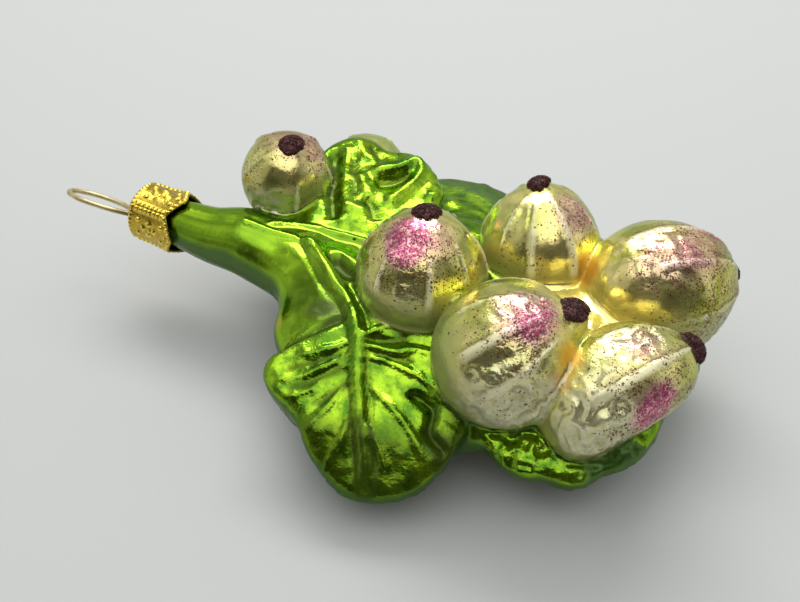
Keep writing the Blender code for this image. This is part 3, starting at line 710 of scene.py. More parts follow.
def paint_leaf_reflection(points, fruit, wander):
    """Painted reflection of the green leaves on the lowest parts of all berries, and further up on those
    nearest the leaves.
    """
    x, y, z = points.T
    drift = smoothstep(26.0, 8.0, x) * smoothstep(30.0, 21.0, z + 2 * wander)
    drift *= 0.4 + 0.6 * smoothstep(-20.0, -12.0, x)
    drift = np.maximum(drift, 0.9 * smoothstep(15.0, 9.5, x + wander) * (y < -12.0))
    return np.clip(fruit * np.maximum(drift, smoothstep(17.0, 12.5, z + wander)), 0, 1)


def amber_lacquer(points):
    """Round soft-edged spots about each place in AMBER, on the visible side only."""
    amber = np.zeros(len(points))
    for *spot, reach in AMBER:
        away = np.linalg.norm(points - np.array(spot), axis=1)
        amber = np.maximum(amber, 1 - smoothstep(0.35, 1.0, away / reach))
    return amber * (points[:, 2] > 15)


def cream_veins(points, fruits, nearest):
    """The cream strokes on the veins, and a line of painted shade along the upper edge of each."""
    stripe, shade = np.zeros((2, len(points)))
    for name, field in zip(BERRIES, fruits):
        own = (1 - smoothstep(0.3, 1.0, field)) * (field < nearest + 0.3)
        stroke, _, line = berry_veins(points, name)
        stripe = np.maximum(stripe, stroke * own)
        # painted shade line beside each vein, stronger on berries e, f and g
        shade = np.maximum(shade, line * own * (1.0 if name in "efg" else 0.5))
    return stripe, shade


def glass_paint(points, normals):
    """The share of each lacquer, painted shade and painted reflection at each vertex, from 0 to 1."""
    fruits = fruit_fields(points)
    nearest = fruits.min(0)
    # sprayed edges wander by about half a millimetre
    wander = 0.5 * noise(points, 5.0, 41) + 0.2 * noise(points, 1.6, 42)
    fruit = 1 - smoothstep(-0.3, 0.6, nearest + wander * 0.5)
    cluster = np.hypot(points[:, 0] - CLUSTER[0], points[:, 1] - CLUSTER[1]) + 2 * wander
    in_cluster = (1 - smoothstep(CLUSTER[2] - 3, CLUSTER[2] + 2, cluster)) * (points[:, 2] > 18)
    fruit = np.maximum(fruit, in_cluster)
    # painted shade: green faces turned down or below the seam, and the lower leaf's right rim, take a darker
    # green
    facing_down = smoothstep(0.50, 0.20, normals[:, 2] + 0.1 * wander)
    shaded_rim = smoothstep(31.0, 35.0, points[:, 0] + wander) * (points[:, 1] < -20.0)
    under = np.maximum(smoothstep(-1.2, 0.6, seam_height(points) - points[:, 2]), facing_down)
    shares = {
        "under": np.maximum(under, shaded_rim) * (1 - fruit),
        # painted shade: berry faces turned down take a dull olive
        "low": facing_down * fruit,
        # painted shade in grooves, creases, hollows, on the web and the leaf's tip
        "pool_and_shade": pooled_and_shaded_green(points, nearest, fruit, wander),
    }
    beside = np.sort(fruits, axis=0)[1] + 1.2 * wander
    shares["yellow"] = fruit * (1 - smoothstep(0.3, 6.5, beside)) * smoothstep(14.0, 18.0, points[:, 2])
    # the undermost berries are green but for their blossom ends
    for name in UNDERSIDE:
        angle = berry_coordinates(points, name)[0]
        hidden = (berry_field(points, name) < nearest + 0.1) & (points[:, 2] < 14)
        fruit = fruit * np.where(hidden, 1 - smoothstep(40, 52, angle), 1.0)
    shares["fruit"] = fruit
    # painted reflection of the green leaves on the lowest parts of the berries
    shares["painted_leaf_reflection"] = paint_leaf_reflection(points, fruit, wander)
    shares["amber"] = amber_lacquer(points)
    shares["stripe"], shares["shade"] = cream_veins(points, fruits, nearest)
    shares["leaf"] = np.max([leaf_share(points, name) for name in LEAVES], axis=0)
    for name, spots in (("blush", BLUSH), ("speckle", SPECKLES), ("pearl", PEARL), ("lime", LIME)):
        shares[name] = sprayed(points, spots)
    return shares


def piece(name, verts, faces, finish):
    """A smooth-shaded object from vertices in millimetres on the mould's frame."""
    data = bpy.data.meshes.new(name)
    data.from_pydata((verts + BENCH) * MM, [], faces)
    data.shade_smooth()
    data.materials.append(finish)
    new_piece = bpy.data.objects.new(name, data)
    bpy.context.scene.collection.objects.link(new_piece)
    return new_piece


def write_shares(on_piece, shares):
    """Stores one number for each vertex under each name, for the material to read."""
    for name, amounts in shares.items():
        layer = on_piece.data.attributes.new(name, "FLOAT", "POINT")
        layer.data.foreach_set("value", amounts.astype(np.float32))


def plug(tree, target, inputs):
    """Gives each named input of a node a value or another node's output."""
    for key, value in inputs.items():
        if isinstance(value, bpy.types.NodeSocket):
            tree.links.new(value, target.inputs[key])
        else:
            target.inputs[key].default_value = value


def node(tree, kind, inputs=None, **settings):
    """Adds a shader node with its settings and inputs."""
    new_node = tree.nodes.new(kind)
    for key, value in settings.items():
        setattr(new_node, key, value)
    plug(tree, new_node, inputs or {})
    return new_node


def held(tree, operation, first, second=0.0, third=0.0):
    """One sum with its result held between 0 and 1."""
    inputs = {0: first, 1: second, 2: third}
    return node(tree, "ShaderNodeMath", inputs, operation=operation, use_clamp=True).outputs[0]


def times(tree, first, second):
    """The product of two shares."""
    return held(tree, "MULTIPLY", first, second)


def stretch(tree, share, gain, shift):
    """A share times gain plus shift, held between 0 and 1."""
    return held(tree, "MULTIPLY_ADD", share, gain, shift)


def tint(tree, amount, under, over):
    """One colour laid over another by an amount."""
    mix = node(tree, "ShaderNodeMix", {0: amount, 6: under, 7: over}, data_type="RGBA")
    return mix.outputs[2]


def grain_group():
    """Noise whose cells have a size in millimetres: its scale is one over size in metres."""
    group = bpy.data.node_groups.new("grain", "ShaderNodeTree")
    group.interface.new_socket("Place", in_out="INPUT", socket_type="NodeSocketVector")
    for name in ("Size", "Detail", "Roughness"):
        group.interface.new_socket(name, in_out="INPUT", socket_type="NodeSocketFloat")
    group.interface.new_socket("Amount", in_out="OUTPUT", socket_type="NodeSocketFloat")
    given = node(group, "NodeGroupInput").outputs
    scale = node(group, "ShaderNodeMath", {0: 1 / MM, 1: given["Size"]}, operation="DIVIDE").outputs[0]
    cloud = node(group, "ShaderNodeTexNoise", {
        "Vector": given["Place"], "Scale": scale, "Detail": given["Detail"], "Roughness": given["Roughness"]})
    plug(group, node(group, "NodeGroupOutput"), {"Amount": cloud.outputs["Fac"]})
    return group


GRAIN = grain_group()


def grain(tree, place, size, detail=2.0, roughness=0.5):
    """The grain group placed in a material, with cells of the given size in millimetres."""
    inputs = {"Place": place, "Size": size, "Detail": detail, "Roughness": roughness}
    placed = tree.nodes.new("ShaderNodeGroup")
    placed.node_tree = GRAIN
    plug(tree, placed, inputs)
    return placed.outputs["Amount"]


def new_finish(name):
    """A material, its nodes, its shader and the place on the piece that patterns read."""
    finish = bpy.data.materials.new(name)
    finish.use_nodes = True
    tree = finish.node_tree
    return finish, tree, tree.nodes["Principled BSDF"], node(tree, "ShaderNodeTexCoord").outputs["Object"]


def vertex_share(tree, name):
    """A number stored at the vertices."""
    return node(tree, "ShaderNodeAttribute", attribute_name=name).outputs["Fac"]


def droplets(tree, place, spacing, chance, radius):
    """Dots at random places, of which the given chance have one; radius is part of spacing.

    In each Voronoi cell whose random red is below chance, the dot reaches 0.6 to 1.2 times
    radius from the middle, by its random green.
    """
    cells = node(tree, "ShaderNodeTexVoronoi", {"Vector": place, "Scale": 1 / (spacing * MM)}, feature="F1")
    drawn = node(tree, "ShaderNodeSeparateColor", {0: cells.outputs["Color"]}).outputs
    kept = node(tree, "ShaderNodeMath", {0: drawn["Red"], 1: chance}, operation="LESS_THAN").outputs[0]
    size = stretch(tree, drawn["Green"], 0.6 * radius, 0.6 * radius)
    inside = node(tree, "ShaderNodeMath", {0: size, 1: cells.outputs["Distance"]}, operation="SUBTRACT")
    return times(tree, times(tree, inside.outputs[0], 12.0), kept)


# The lacquers, from the silvering outwards, with the colours of painted shade and painted reflection among
# them.
LACQUERS = {
    "deep green": (0.085, 0.23, 0.006, 1), "thin green": (0.41, 0.68, 0.020, 1),
    "thick green and painted shade": (0.04, 0.06, 0.005, 1), "painted shade green": (0.045, 0.11, 0.018, 1),
    "champagne": (0.86, 0.72, 0.21, 1), "pale champagne": (0.96, 0.84, 0.38, 1),
    "yellow": (0.90, 0.76, 0.13, 1), "amber": (0.80, 0.42, 0.05, 1), "painted_leaf_reflection": (0.21, 0.33, 0.07, 1),
    "painted shade olive": (0.22, 0.22, 0.08, 1), "pearl": (0.84, 0.82, 0.62, 1), "painted vein shadow": (0.20, 0.15, 0.05, 1),
    "cream": (0.90, 0.85, 0.54, 1), "lime": (0.45, 0.50, 0.02, 1), "pink wash": (0.93, 0.58, 0.60, 1),
    "magenta": (0.52, 0.04, 0.19, 1), "pink drops": (0.45, 0.03, 0.15, 1),
    "maroon smear": (0.26, 0.07, 0.06, 1), "maroon specks": (0.09, 0.012, 0.015, 1),
}
GLASS_SHARES = ("fruit", "under", "low", "pool_and_shade", "yellow", "shade", "stripe", "amber", "painted_leaf_reflection", "blush",
                "speckle", "pearl", "lime", "leaf")


def green_lacquer(tree, place, share, cloud):
    """Clear green, mottled on the leaves, darkened by painted shade in grooves, creases and hollows, where
    some lacquer also gathers, and on the back and faces turned down.
    """
    mottle = stretch(tree, grain(tree, place, 2.2, 3.0, 0.6), 4.0, -1.35)
    thin = held(tree, "MULTIPLY_ADD", share["leaf"], mottle, stretch(tree, share["leaf"], -0.62, 0.62))
    thin = times(tree, thin, stretch(tree, cloud, 2.4, -0.5))
    green = tint(tree, thin, LACQUERS["deep green"], LACQUERS["thin green"])
    # painted shade: darker green in grooves, creases, hollows, on the web and the leaf's tip
    green = tint(tree, times(tree, share["pool_and_shade"], 0.95), green, LACQUERS["thick green and painted shade"])
    # painted shade: darker green below the seam, on faces turned down and on the lower leaf's right rim
    return tint(tree, times(tree, share["under"], 0.9), green, LACQUERS["painted shade green"])


def lacquered_glass():
    """Silvered glass under clear coloured lacquers, with matt cream, pearl and specks over them."""
    finish, tree, shader, place = new_finish("lacquered_glass")
    share = {name: vertex_share(tree, name) for name in GLASS_SHARES}
    cloud = grain(tree, place, 9.0)
    fine = grain(tree, place, 0.9, 3.0)

    champagne = tint(tree, cloud, LACQUERS["champagne"], LACQUERS["pale champagne"])
    champagne = tint(tree, times(tree, share["yellow"], 0.85), champagne, LACQUERS["yellow"])
    color = tint(tree, share["fruit"], green_lacquer(tree, place, share, cloud), champagne)
    pearl = times(tree, share["pearl"], stretch(tree, fine, 1.6, -0.3))
    stripe = times(tree, share["stripe"], 0.85)
    blotches = stretch(tree, grain(tree, place, 1.8, 3.0, 0.6), 6.0, -2.4)
    lime = times(tree, share["lime"], blotches)
    brushed = stretch(tree, grain(tree, place, 0.6, 4.0, 0.75), 8.0, -3.3)
    brushed = times(tree, brushed, held(tree, "POWER", share["blush"], 1.2))
    # drops and specks come in patches, and smear together where they are densest
    patches = stretch(tree, grain(tree, place, 1.9, 3.0, 0.6), 5.0, -2.1)
    heavy = times(tree, held(tree, "POWER", share["blush"], 1.4), stretch(tree, patches, 0.6, 0.4))
    pink = droplets(tree, place, 0.42, heavy, 0.45)
    pink = held(tree, "ADD", pink, droplets(tree, place, 0.27, heavy, 0.50))
    dense = times(tree, share["speckle"], stretch(tree, patches, 0.85, 0.10))
    speck = droplets(tree, place, 0.50, dense, 0.42)
    speck = held(tree, "ADD", speck, droplets(tree, place, 0.30, dense, 0.48))
    smear = times(tree, dense, stretch(tree, grain(tree, place, 0.7, 4.0, 0.7), 6.0, -2.9))
    # among these coats: painted shade on berry faces turned down, painted reflection of the leaves, painted
    # shade lines beside the veins
    for amount, strength, lacquer in (
            (share["amber"], 0.9, "amber"), (share["painted_leaf_reflection"], 0.85, "painted_leaf_reflection"), (share["low"], 0.65, "painted shade olive"),
            (pearl, 1.0, "pearl"), (share["shade"], 0.8, "painted vein shadow"), (stripe, 1.0, "cream"),
            (lime, 0.85, "lime"), (share["blush"], 0.75, "pink wash"), (brushed, 0.9, "magenta"),
            (pink, 1.0, "pink drops"), (smear, 0.8, "maroon smear"), (speck, 0.92, "maroon specks")):
        color = tint(tree, times(tree, amount, strength), color, LACQUERS[lacquer])

    # how much each coat dulls the mirror
    # the painted shade in grooves and creases is also made duller
    pooled_and_shaded = held(tree, "POWER", share["pool_and_shade"], 3.0)
    matt = times(tree, stripe, 0.8)
    for amount, strength in (
            (pearl, 0.25), (speck, 0.6), (pink, 0.35), (share["painted_leaf_reflection"], 0.45), (share["under"], 0.55),
            (share["low"], 0.4), (pooled_and_shaded, 0.7), (share["yellow"], 0.3), (share["amber"], 0.3)):
        matt = held(tree, "ADD", matt, times(tree, amount, strength))
    rough = held(tree, "ADD", stretch(tree, share["fruit"], 0.01, 0.17), times(tree, matt, 0.25))

    height = held(tree, "ADD", times(tree, fine, 0.2), times(tree, grain(tree, place, 2.4), 0.2))
    cells = {"Vector": place, "Scale": 1 / (1.5 * MM), "Detail": 1.0}
    folds = node(tree, "ShaderNodeTexVoronoi", cells, feature="F1")
    height = held(tree, "MULTIPLY_ADD", times(tree, share["pearl"], folds.outputs["Distance"]), 0.9, height)
    crinkle = held(tree, "PINGPONG", grain(tree, place, 1.5, 3.0, 0.6), 0.5)
    height = held(tree, "MULTIPLY_ADD", times(tree, share["leaf"], crinkle), 1.0, height)
    bump = node(tree, "ShaderNodeBump", {"Height": height, "Strength": 0.7, "Distance": 0.25 * MM})
    silvered = stretch(tree, share["fruit"], -0.10, 1.0)
    plug(tree, shader, {
        "Base Color": color, "Roughness": rough, "Normal": bump.outputs["Normal"],
        "Metallic": held(tree, "SUBTRACT", silvered, times(tree, matt, 0.85)),
        "Coat Weight": stretch(tree, share["pool_and_shade"], -0.28, 0.3), "Coat Roughness": 0.05,
        "Specular Tint": (0.50, 0.60, 0.38, 1),
    })
    return finish


glass_body = piece("glass_body", glass_skin, glass_faces.tolist(), lacquered_glass())
write_shares(glass_body, glass_paint(glass_verts, glass_normal))
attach(glass_body, "root")
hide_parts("glass_body")

# ------------------------------------------------------------------ the crown cap
# A cup pressed from thin gilt brass sheet with four beaded, pointed lobes, which grip the
# neck like a crown. The wire passes through its end.

CAP_END = np.array([-51.6, 15.7, 18.4])
CAP_AXIS = (-0.955, 0.262, 0.055)
CAP_LENGTH, CAP_NOTCH, CAP_SHEET = 10.1, 8.1, 0.4
CAP_RADIUS, CAP_FLARE, CAP_FLARE_START, CAP_CORNER = 4.85, 0.95, 3.0, 0.7
# How much wider the cap is at the notches, which makes it nearly square.
CAP_SQUARING = 0.085
CAP_COLUMNS, CAP_ROWS, CAP_END_ROWS, CAP_INSIDE_STEP = 320, 104, 22, 4
# A lobe's edge: part of the way from its middle to the notch, part of the lobe's depth.
LOBE_EDGE = ((0.0, 1.0), (0.10, 0.96), (0.90, 0.10), (1.0, 0.0))
LOBE_ARC = np.pi / 2
BEAD_PITCH, BEAD_RADIUS, BEAD_HEIGHT, BEAD_INSET = 0.92, 0.40, 0.34, 0.55
# Round bosses on each lobe: across, back from the end, radius and height.
BOSSES = ((-1.5, 2.4, 0.52, 0.36), (1.5, 2.4, 0.52, 0.36), (-1.5, 7.4, 0.52, 0.36),
          (1.5, 7.4, 0.52, 0.36), (0.0, 4.9, 0.4, 0.30), (0.0, 8.4, 0.36, 0.26))
FLOWER_BACK, FLOWER_REACH, FLOWER_HEIGHT = 4.7, 1.15, 0.40
KNURLS, KNURL_HEIGHT = 17, 0.20
WIRE_TURN, LOBE_TURN = np.radians(35.0), np.radians(-30.7)

outward = unit(CAP_AXIS)
level = unit(np.cross((0.0, 0.0, 1.0), -outward))
across = level * np.cos(WIRE_TURN) + np.cross(outward, level) * np.sin(WIRE_TURN)
neck_axes = np.array([outward, across, np.cross(outward, across)])


def lobe_depth(off_middle):
    """How far the skirt reaches back, from the middle of a lobe (0) to the notch (1)."""
    edge = np.array(LOBE_EDGE)
    return CAP_NOTCH + (CAP_LENGTH - CAP_NOTCH) * np.interp(off_middle, edge[:, 0], edge[:, 1])


def bead_line():
    """Bead centres on a lobe, evenly spaced along a line just inside its edge."""
    half = CAP_RADIUS * LOBE_ARC / 2
    off = np.linspace(0.0, 0.93, 40)
    tip = np.stack([off * half, lobe_depth(off) - BEAD_INSET], -1)
    side = np.stack([np.full(20, half * 0.90), np.linspace(tip[-1, 1], 1.0, 20)], -1)
    line = np.vstack([tip, side])
    passed = np.concatenate([[0.0], np.cumsum(np.linalg.norm(np.diff(line, axis=0), axis=1))])
    spots = np.arange(0.0, passed[-1], BEAD_PITCH)
    return np.stack([np.interp(spots, passed, line[:, k]) for k in (0, 1)], -1)


def dome(off, radius, height):
    """A round-topped rise: height times the root of 1 less the square of off over radius."""
    return height * np.sqrt(np.clip(1 - (off / radius) ** 2, 0.0, 1.0))


def lobe_relief(side, back):
    """Beads, bosses and the four-petalled flower pressed into a lobe.

    The petals are the square of cos 2a round the flower's middle, in a ring at its reach.
    """
    rise = np.zeros_like(side)
    for bead_side, bead_back in bead_line():
        off = np.hypot(np.abs(side) - bead_side, back - bead_back)
        rise = np.maximum(rise, dome(off, BEAD_RADIUS, BEAD_HEIGHT))
    for boss_side, boss_back, radius, height in BOSSES:
        off = np.hypot(side - boss_side, back - boss_back)
        rise = np.maximum(rise, dome(off, radius, height)) - 0.16 * bell(off - radius - 0.14, 0.14)
    turn = np.arctan2(back - FLOWER_BACK, side)
    petal = np.cos(2 * turn) ** 2 * bell(np.hypot(side, back - FLOWER_BACK) - FLOWER_REACH, 0.5)
    border = 0.14 * bell(np.abs(side) - CAP_RADIUS * 0.62, 0.16) * smoothstep(0.8, 1.4, back)
    return rise + FLOWER_HEIGHT * petal + border


def off_lobe(angle):
    """The angle from the middle of the nearest lobe."""
    return (angle - LOBE_TURN + LOBE_ARC / 2) % LOBE_ARC - LOBE_ARC / 2


def cap_skin(angle, back):
    """Radius of the outer skin, and how far round it lies from its lobe's middle in mm.

    Squared by the square of the part of the way to the notch, flared by a power of the
    part of the way back, and rounded to the end by a quarter circle. One side of each
    notch laps over the other.
    """
    off = off_lobe(angle)
    lap = off / (LOBE_ARC / 2)
    corner = np.clip(1 - back / CAP_CORNER, 0, 1)
    radius = CAP_RADIUS * (1 + CAP_SQUARING * np.abs(lap) ** 2)
    flare = np.clip((back - CAP_FLARE_START) / (CAP_LENGTH - CAP_FLARE_START), 0, 1) ** 2.2
    radius = radius + CAP_FLARE * flare - CAP_CORNER * (1 - np.sqrt(1 - corner ** 2))
    return radius + 0.13 * lap * np.abs(lap) ** 5 * smoothstep(0.6, 1.6, back), off * CAP_RADIUS


def cap_ring(angle, out, radius):
    """A ring of vertices round the neck's axis: distance out along it, then across."""
    out = np.broadcast_to(out, angle.shape)
    return np.stack([out, radius * np.cos(angle), radius * np.sin(angle)], -1)


def cap_grid():
    """Vertices of the cup: the end's rings, the outer skirt, its edge and the inside."""
    angle = np.arange(CAP_COLUMNS) / CAP_COLUMNS * 2 * np.pi
    depth = lobe_depth(np.abs(off_lobe(angle)) / (LOBE_ARC / 2))
    end_reach = cap_skin(angle, np.zeros_like(angle))[0] * np.arange(1, CAP_END_ROWS)[:, None] / CAP_END_ROWS
    rings = [cap_ring(angle, 0.16 * bell(reach - 3.3, 0.35), reach) for reach in end_reach]
    for step in range(CAP_ROWS + 1):
        back = depth * (step / CAP_ROWS) ** 1.25
        radius, side = cap_skin(angle, back)
        rise = lobe_relief(side, back) * (1 - smoothstep(0.97, 1.0, back / depth))
        knurl = KNURL_HEIGHT * np.abs(np.cos(angle * KNURLS)) * bell(back - 0.55, 0.40)
        rings.append(cap_ring(angle, -back, radius + rise + knurl))
    for step in range(CAP_ROWS, -1, -CAP_INSIDE_STEP):
        back = depth * (step / CAP_ROWS) ** 1.25
        radius = cap_skin(angle, back)[0] - CAP_SHEET
        rings.append(cap_ring(angle, -np.maximum(back, CAP_SHEET), radius))
    return np.array(rings)


def ring_faces(rows, columns):
    """Quads between closed rings of vertices laid out row after row."""
    row, column = np.meshgrid(np.arange(rows - 1) * columns, np.arange(columns), indexing="ij")
    after = (column + 1) % columns
    quads = np.stack([row + column, row + columns + column, row + columns + after, row + after], -1)
    return quads.reshape(-1, 4).tolist()


def pole_faces(rows, columns):
    """Triangles that close the first and last ring to the two vertices after the grid."""
    rim = np.arange(columns)
    last = rim + (rows - 1) * columns
    first_pole = rows * columns
    return ([(first_pole, a, b) for a, b in zip(rim.tolist(), np.roll(rim, -1).tolist())]
            + [(first_pole + 1, b, a) for a, b in zip(last.tolist(), np.roll(last, -1).tolist())])


def gilt_brass():
    """Bright gilding, browner and duller low in the pressed pattern."""
    finish, tree, shader, place = new_finish("gilt_brass")
    cloud = grain(tree, place, 0.7, 3.0)
    worn = stretch(tree, cloud, 0.9, stretch(tree, vertex_share(tree, "high"), 1.0, -0.34))
    pits = {"Height": grain(tree, place, 0.35), "Strength": 0.4, "Distance": 0.1 * MM}
    plug(tree, shader, {
        "Base Color": tint(tree, worn, (0.26, 0.13, 0.015, 1), (0.94, 0.73, 0.10, 1)), "Metallic": 1.0,
        "Roughness": stretch(tree, cloud, 0.22, 0.10),
        "Normal": node(tree, "ShaderNodeBump", pits).outputs["Normal"],
    })
    return finish


cap_rings = cap_grid()
cap_points = np.vstack([cap_rings.reshape(-1, 3), [[0.0, 0.0, 0.0], [-CAP_SHEET, 0.0, 0.0]]])
cap_faces = ring_faces(len(cap_rings), CAP_COLUMNS) + pole_faces(len(cap_rings), CAP_COLUMNS)
crown_cap = piece("crown_cap", cap_points @ neck_axes + CAP_END, cap_faces, gilt_brass())
cap_high = np.zeros(len(cap_points))
skirt = slice((CAP_END_ROWS - 1) * CAP_COLUMNS, (CAP_END_ROWS + CAP_ROWS) * CAP_COLUMNS)
skirt_points = cap_points[skirt]
skirt_plain = cap_skin(np.arctan2(skirt_points[:, 2], skirt_points[:, 1]), -skirt_points[:, 0])[0]
cap_high[skirt] = np.clip((np.hypot(skirt_points[:, 1], skirt_points[:, 2]) - skirt_plain) / 0.2, 0, 1)
write_shares(crown_cap, {"high": cap_high})
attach(crown_cap, "root")
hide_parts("crown_cap")

# ------------------------------------------------------------------ the hanger wire
# One length of brassed spring wire. Its two legs splay inside the neck and hold the cap
# down, and outside it goes round in a loop for the hook.

WIRE_RADIUS, WIRE_SIDES = 0.48, 20
# Half of the wire's centre line: distance out of the cap, and distance from the axis.
WIRE_HALF = ((-11.5, 1.75), (-7.0, 1.6), (-3.0, 1.35), (0.0, 1.2), (1.8, 1.5), (4.2, 3.1),
             (7.4, 4.1), (10.4, 4.3), (13.1, 3.4), (14.8, 1.8), (15.3, 0.0))
# The wire leaves the cap off its middle, and the legs run in to the middle of the neck.
WIRE_SET_OFF = np.array([0.0, 0.0, 1.5])
# The legs' cut ends are rounded off by one more ring, smaller and a little further in.
WIRE_END_SIZE, WIRE_END_LENGTH = 0.75, 0.12


def swept_wire(line, radius, sides, square):
    """Rings round a line that lies in a plane, with square as the plane's normal."""
    ahead = unit_rows(np.gradient(line, axis=0))
    beside = np.cross(ahead, square)
    turn = np.arange(sides) / sides * 2 * np.pi
    spread = np.cos(turn)[None, :, None] * beside[:, None] + np.sin(turn)[None, :, None] * square
    return line[:, None] + radius * spread


def brassed_wire():
    """Drawn steel wire with a thin brass wash, uneven along its length and dark by the cap."""
    finish, tree, shader, place = new_finish("brassed_wire")
    cloud = grain(tree, place, 1.6, 3.0)
    color = tint(tree, stretch(tree, cloud, 2.2, -0.6), (0.42, 0.30, 0.10, 1), (0.78, 0.70, 0.42, 1))
    color = tint(tree, times(tree, vertex_share(tree, "dull"), 0.8), color, (0.12, 0.07, 0.02, 1))
    plug(tree, shader, {"Base Color": color, "Metallic": 0.9, "Roughness": stretch(tree, cloud, 0.2, 0.24)})
    return finish


wire_half = np.array([(out, -off, 0.0) for out, off in WIRE_HALF])
wire_line = smooth_line(np.vstack([wire_half, wire_half[-2::-1] * (1, -1, 1)]), 12)
wire_rings = swept_wire(wire_line, WIRE_RADIUS, WIRE_SIDES, np.array([0.0, 0.0, 1.0]))
wire_ends = [wire_line[k] + WIRE_END_SIZE * (wire_rings[k] - wire_line[k]) - np.array([WIRE_END_LENGTH, 0, 0])
             for k in (0, -1)]
wire_rings = np.vstack([wire_ends[:1], wire_rings, wire_ends[1:]])
wire_points = wire_rings.reshape(-1, 3)
wire_faces = ring_faces(len(wire_rings), WIRE_SIDES)
wire_faces.append(tuple(range(WIRE_SIDES)))
wire_faces.append(tuple(range(len(wire_points) - 1, len(wire_points) - 1 - WIRE_SIDES, -1)))
wire_shift = smoothstep(-6.0, -0.5, wire_points[:, :1]) * WIRE_SET_OFF
wire_placed = (wire_points + wire_shift) @ neck_axes + CAP_END
hanger_wire = piece("hanger_wire", wire_placed, wire_faces, brassed_wire())
write_shares(hanger_wire, {"dull": 1 - smoothstep(0.8, 6.0, wire_points[:, 0])})
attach(hanger_wire, "root")
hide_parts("hanger_wire")

# ------------------------------------------------------------------ the dabs of glitter
# A thick dab of glue with fine dark maroon glitter strewn on it, dried on the blossom end
# of every berry. Each is a rough domed pad with loose flakes standing out of it.

DAB_THICKNESS, DAB_SINK = 0.75, 0.15
DAB_COLUMNS, DAB_ROWS = 72, 22
# The pad sags with the stub below it, and its rim wavers by this share in each wave.
DAB_SAG_RADIUS, DAB_WAVER, DAB_WAVES = 5.2, 0.035, (1, 2, 3, 5, 8)
LUMP_HEIGHT, LUMP_SIZE = 0.16, 0.45
# Flakes: how many, their size, the part of the pad they reach and the share of thickness.
FLAKES, FLAKE_SIZE, FLAKE_REACH, FLAKE_FLATNESS = 700, 0.17, 1.04, 0.25
FLAKE_CORNERS = ((1, 0, 0), (0, 1, 0), (-1, 0, 0), (0, -1, 0), (0, 0, 1), (0, 0, -1))
FLAKE_SIDES = np.array([(0, 1, 4), (1, 2, 4), (2, 3, 4), (3, 0, 4),
                        (1, 0, 5), (2, 1, 5), (3, 2, 5), (0, 3, 5)])


def maroon_glitter():
    """Dark maroon grains: mostly dull, each flake with its own shade and a little sparkle."""
    finish, tree, shader, place = new_finish("maroon_glitter")
    grains = node(tree, "ShaderNodeTexVoronoi", {"Vector": place, "Scale": 1 / (0.26 * MM)}, feature="F1")
    shade = node(tree, "ShaderNodeSeparateColor", {0: grains.outputs["Color"]}).outputs
    bright = held(tree, "POWER", shade["Red"], 2.0)
    plug(tree, shader, {
        "Base Color": tint(tree, bright, (0.022, 0.006, 0.004, 1), (0.15, 0.035, 0.03, 1)),
        "Metallic": 0.35, "Roughness": stretch(tree, shade["Green"], 0.35, 0.3),
    })
    return finish


def glue_pad(radius, rng, seed):
    """A closed domed pad, rough all over: rings from its top round the rim to its underside.

    Its height follows a power of the cosine down from the top, less the sag, which is the
    square of the distance from its middle over twice the sag's radius.
    """
    turn = np.arange(DAB_COLUMNS) / DAB_COLUMNS * 2 * np.pi
    outline = radius * (1 + sum(DAB_WAVER * rng.normal() * np.cos(wave * turn + rng.uniform(0, 6))
                                for wave in DAB_WAVES))
    steps = np.linspace(0, np.pi * 0.97, DAB_ROWS)[1:, None]
    reach = outline * np.where(steps < np.pi / 2, np.sin(steps) ** 0.8, np.sin(steps))
    rise = DAB_THICKNESS * np.sign(np.cos(steps)) * np.abs(np.cos(steps)) ** 0.6
    rise = np.where(rise > 0, rise, rise * 0.6) - reach ** 2 / (2 * DAB_SAG_RADIUS)
    pad = np.stack([reach * np.cos(turn), reach * np.sin(turn), rise], -1).reshape(-1, 3)
    pad = np.vstack([pad, [[0, 0, DAB_THICKNESS], [0, 0, -0.6 * DAB_THICKNESS]]])
    lumps = LUMP_HEIGHT * noise(pad + 50, LUMP_SIZE, seed)
    return pad + lumps[:, None] * unit_rows(pad + np.array([0, 0, 1.0]))


def loose_flakes(radius, rng):
    """Vertices of small flat flakes at every angle, six to a flake, strewn over the pad."""
    spin = rng.uniform(0, 2 * np.pi, FLAKES)
    away = radius * FLAKE_REACH * np.sqrt(rng.uniform(0, 1, FLAKES))
    top = DAB_THICKNESS * dome(away, radius * (FLAKE_REACH + 0.02), 1.0) ** 0.7
    top = top - away ** 2 / (2 * DAB_SAG_RADIUS) + 0.02
    middle = np.stack([away * np.cos(spin), away * np.sin(spin), top], -1)
    one = unit_rows(rng.normal(size=(FLAKES, 3)) * (1, 1, 0.8))
    two = unit_rows(np.cross(one, rng.normal(size=(FLAKES, 3))))
    size = FLAKE_SIZE * rng.uniform(0.6, 1.3, FLAKES)
    axes = size[:, None, None] * np.stack([one, two, np.cross(one, two) * FLAKE_FLATNESS], 1)
    return (middle[:, None] + np.array(FLAKE_CORNERS) @ axes).reshape(-1, 3)


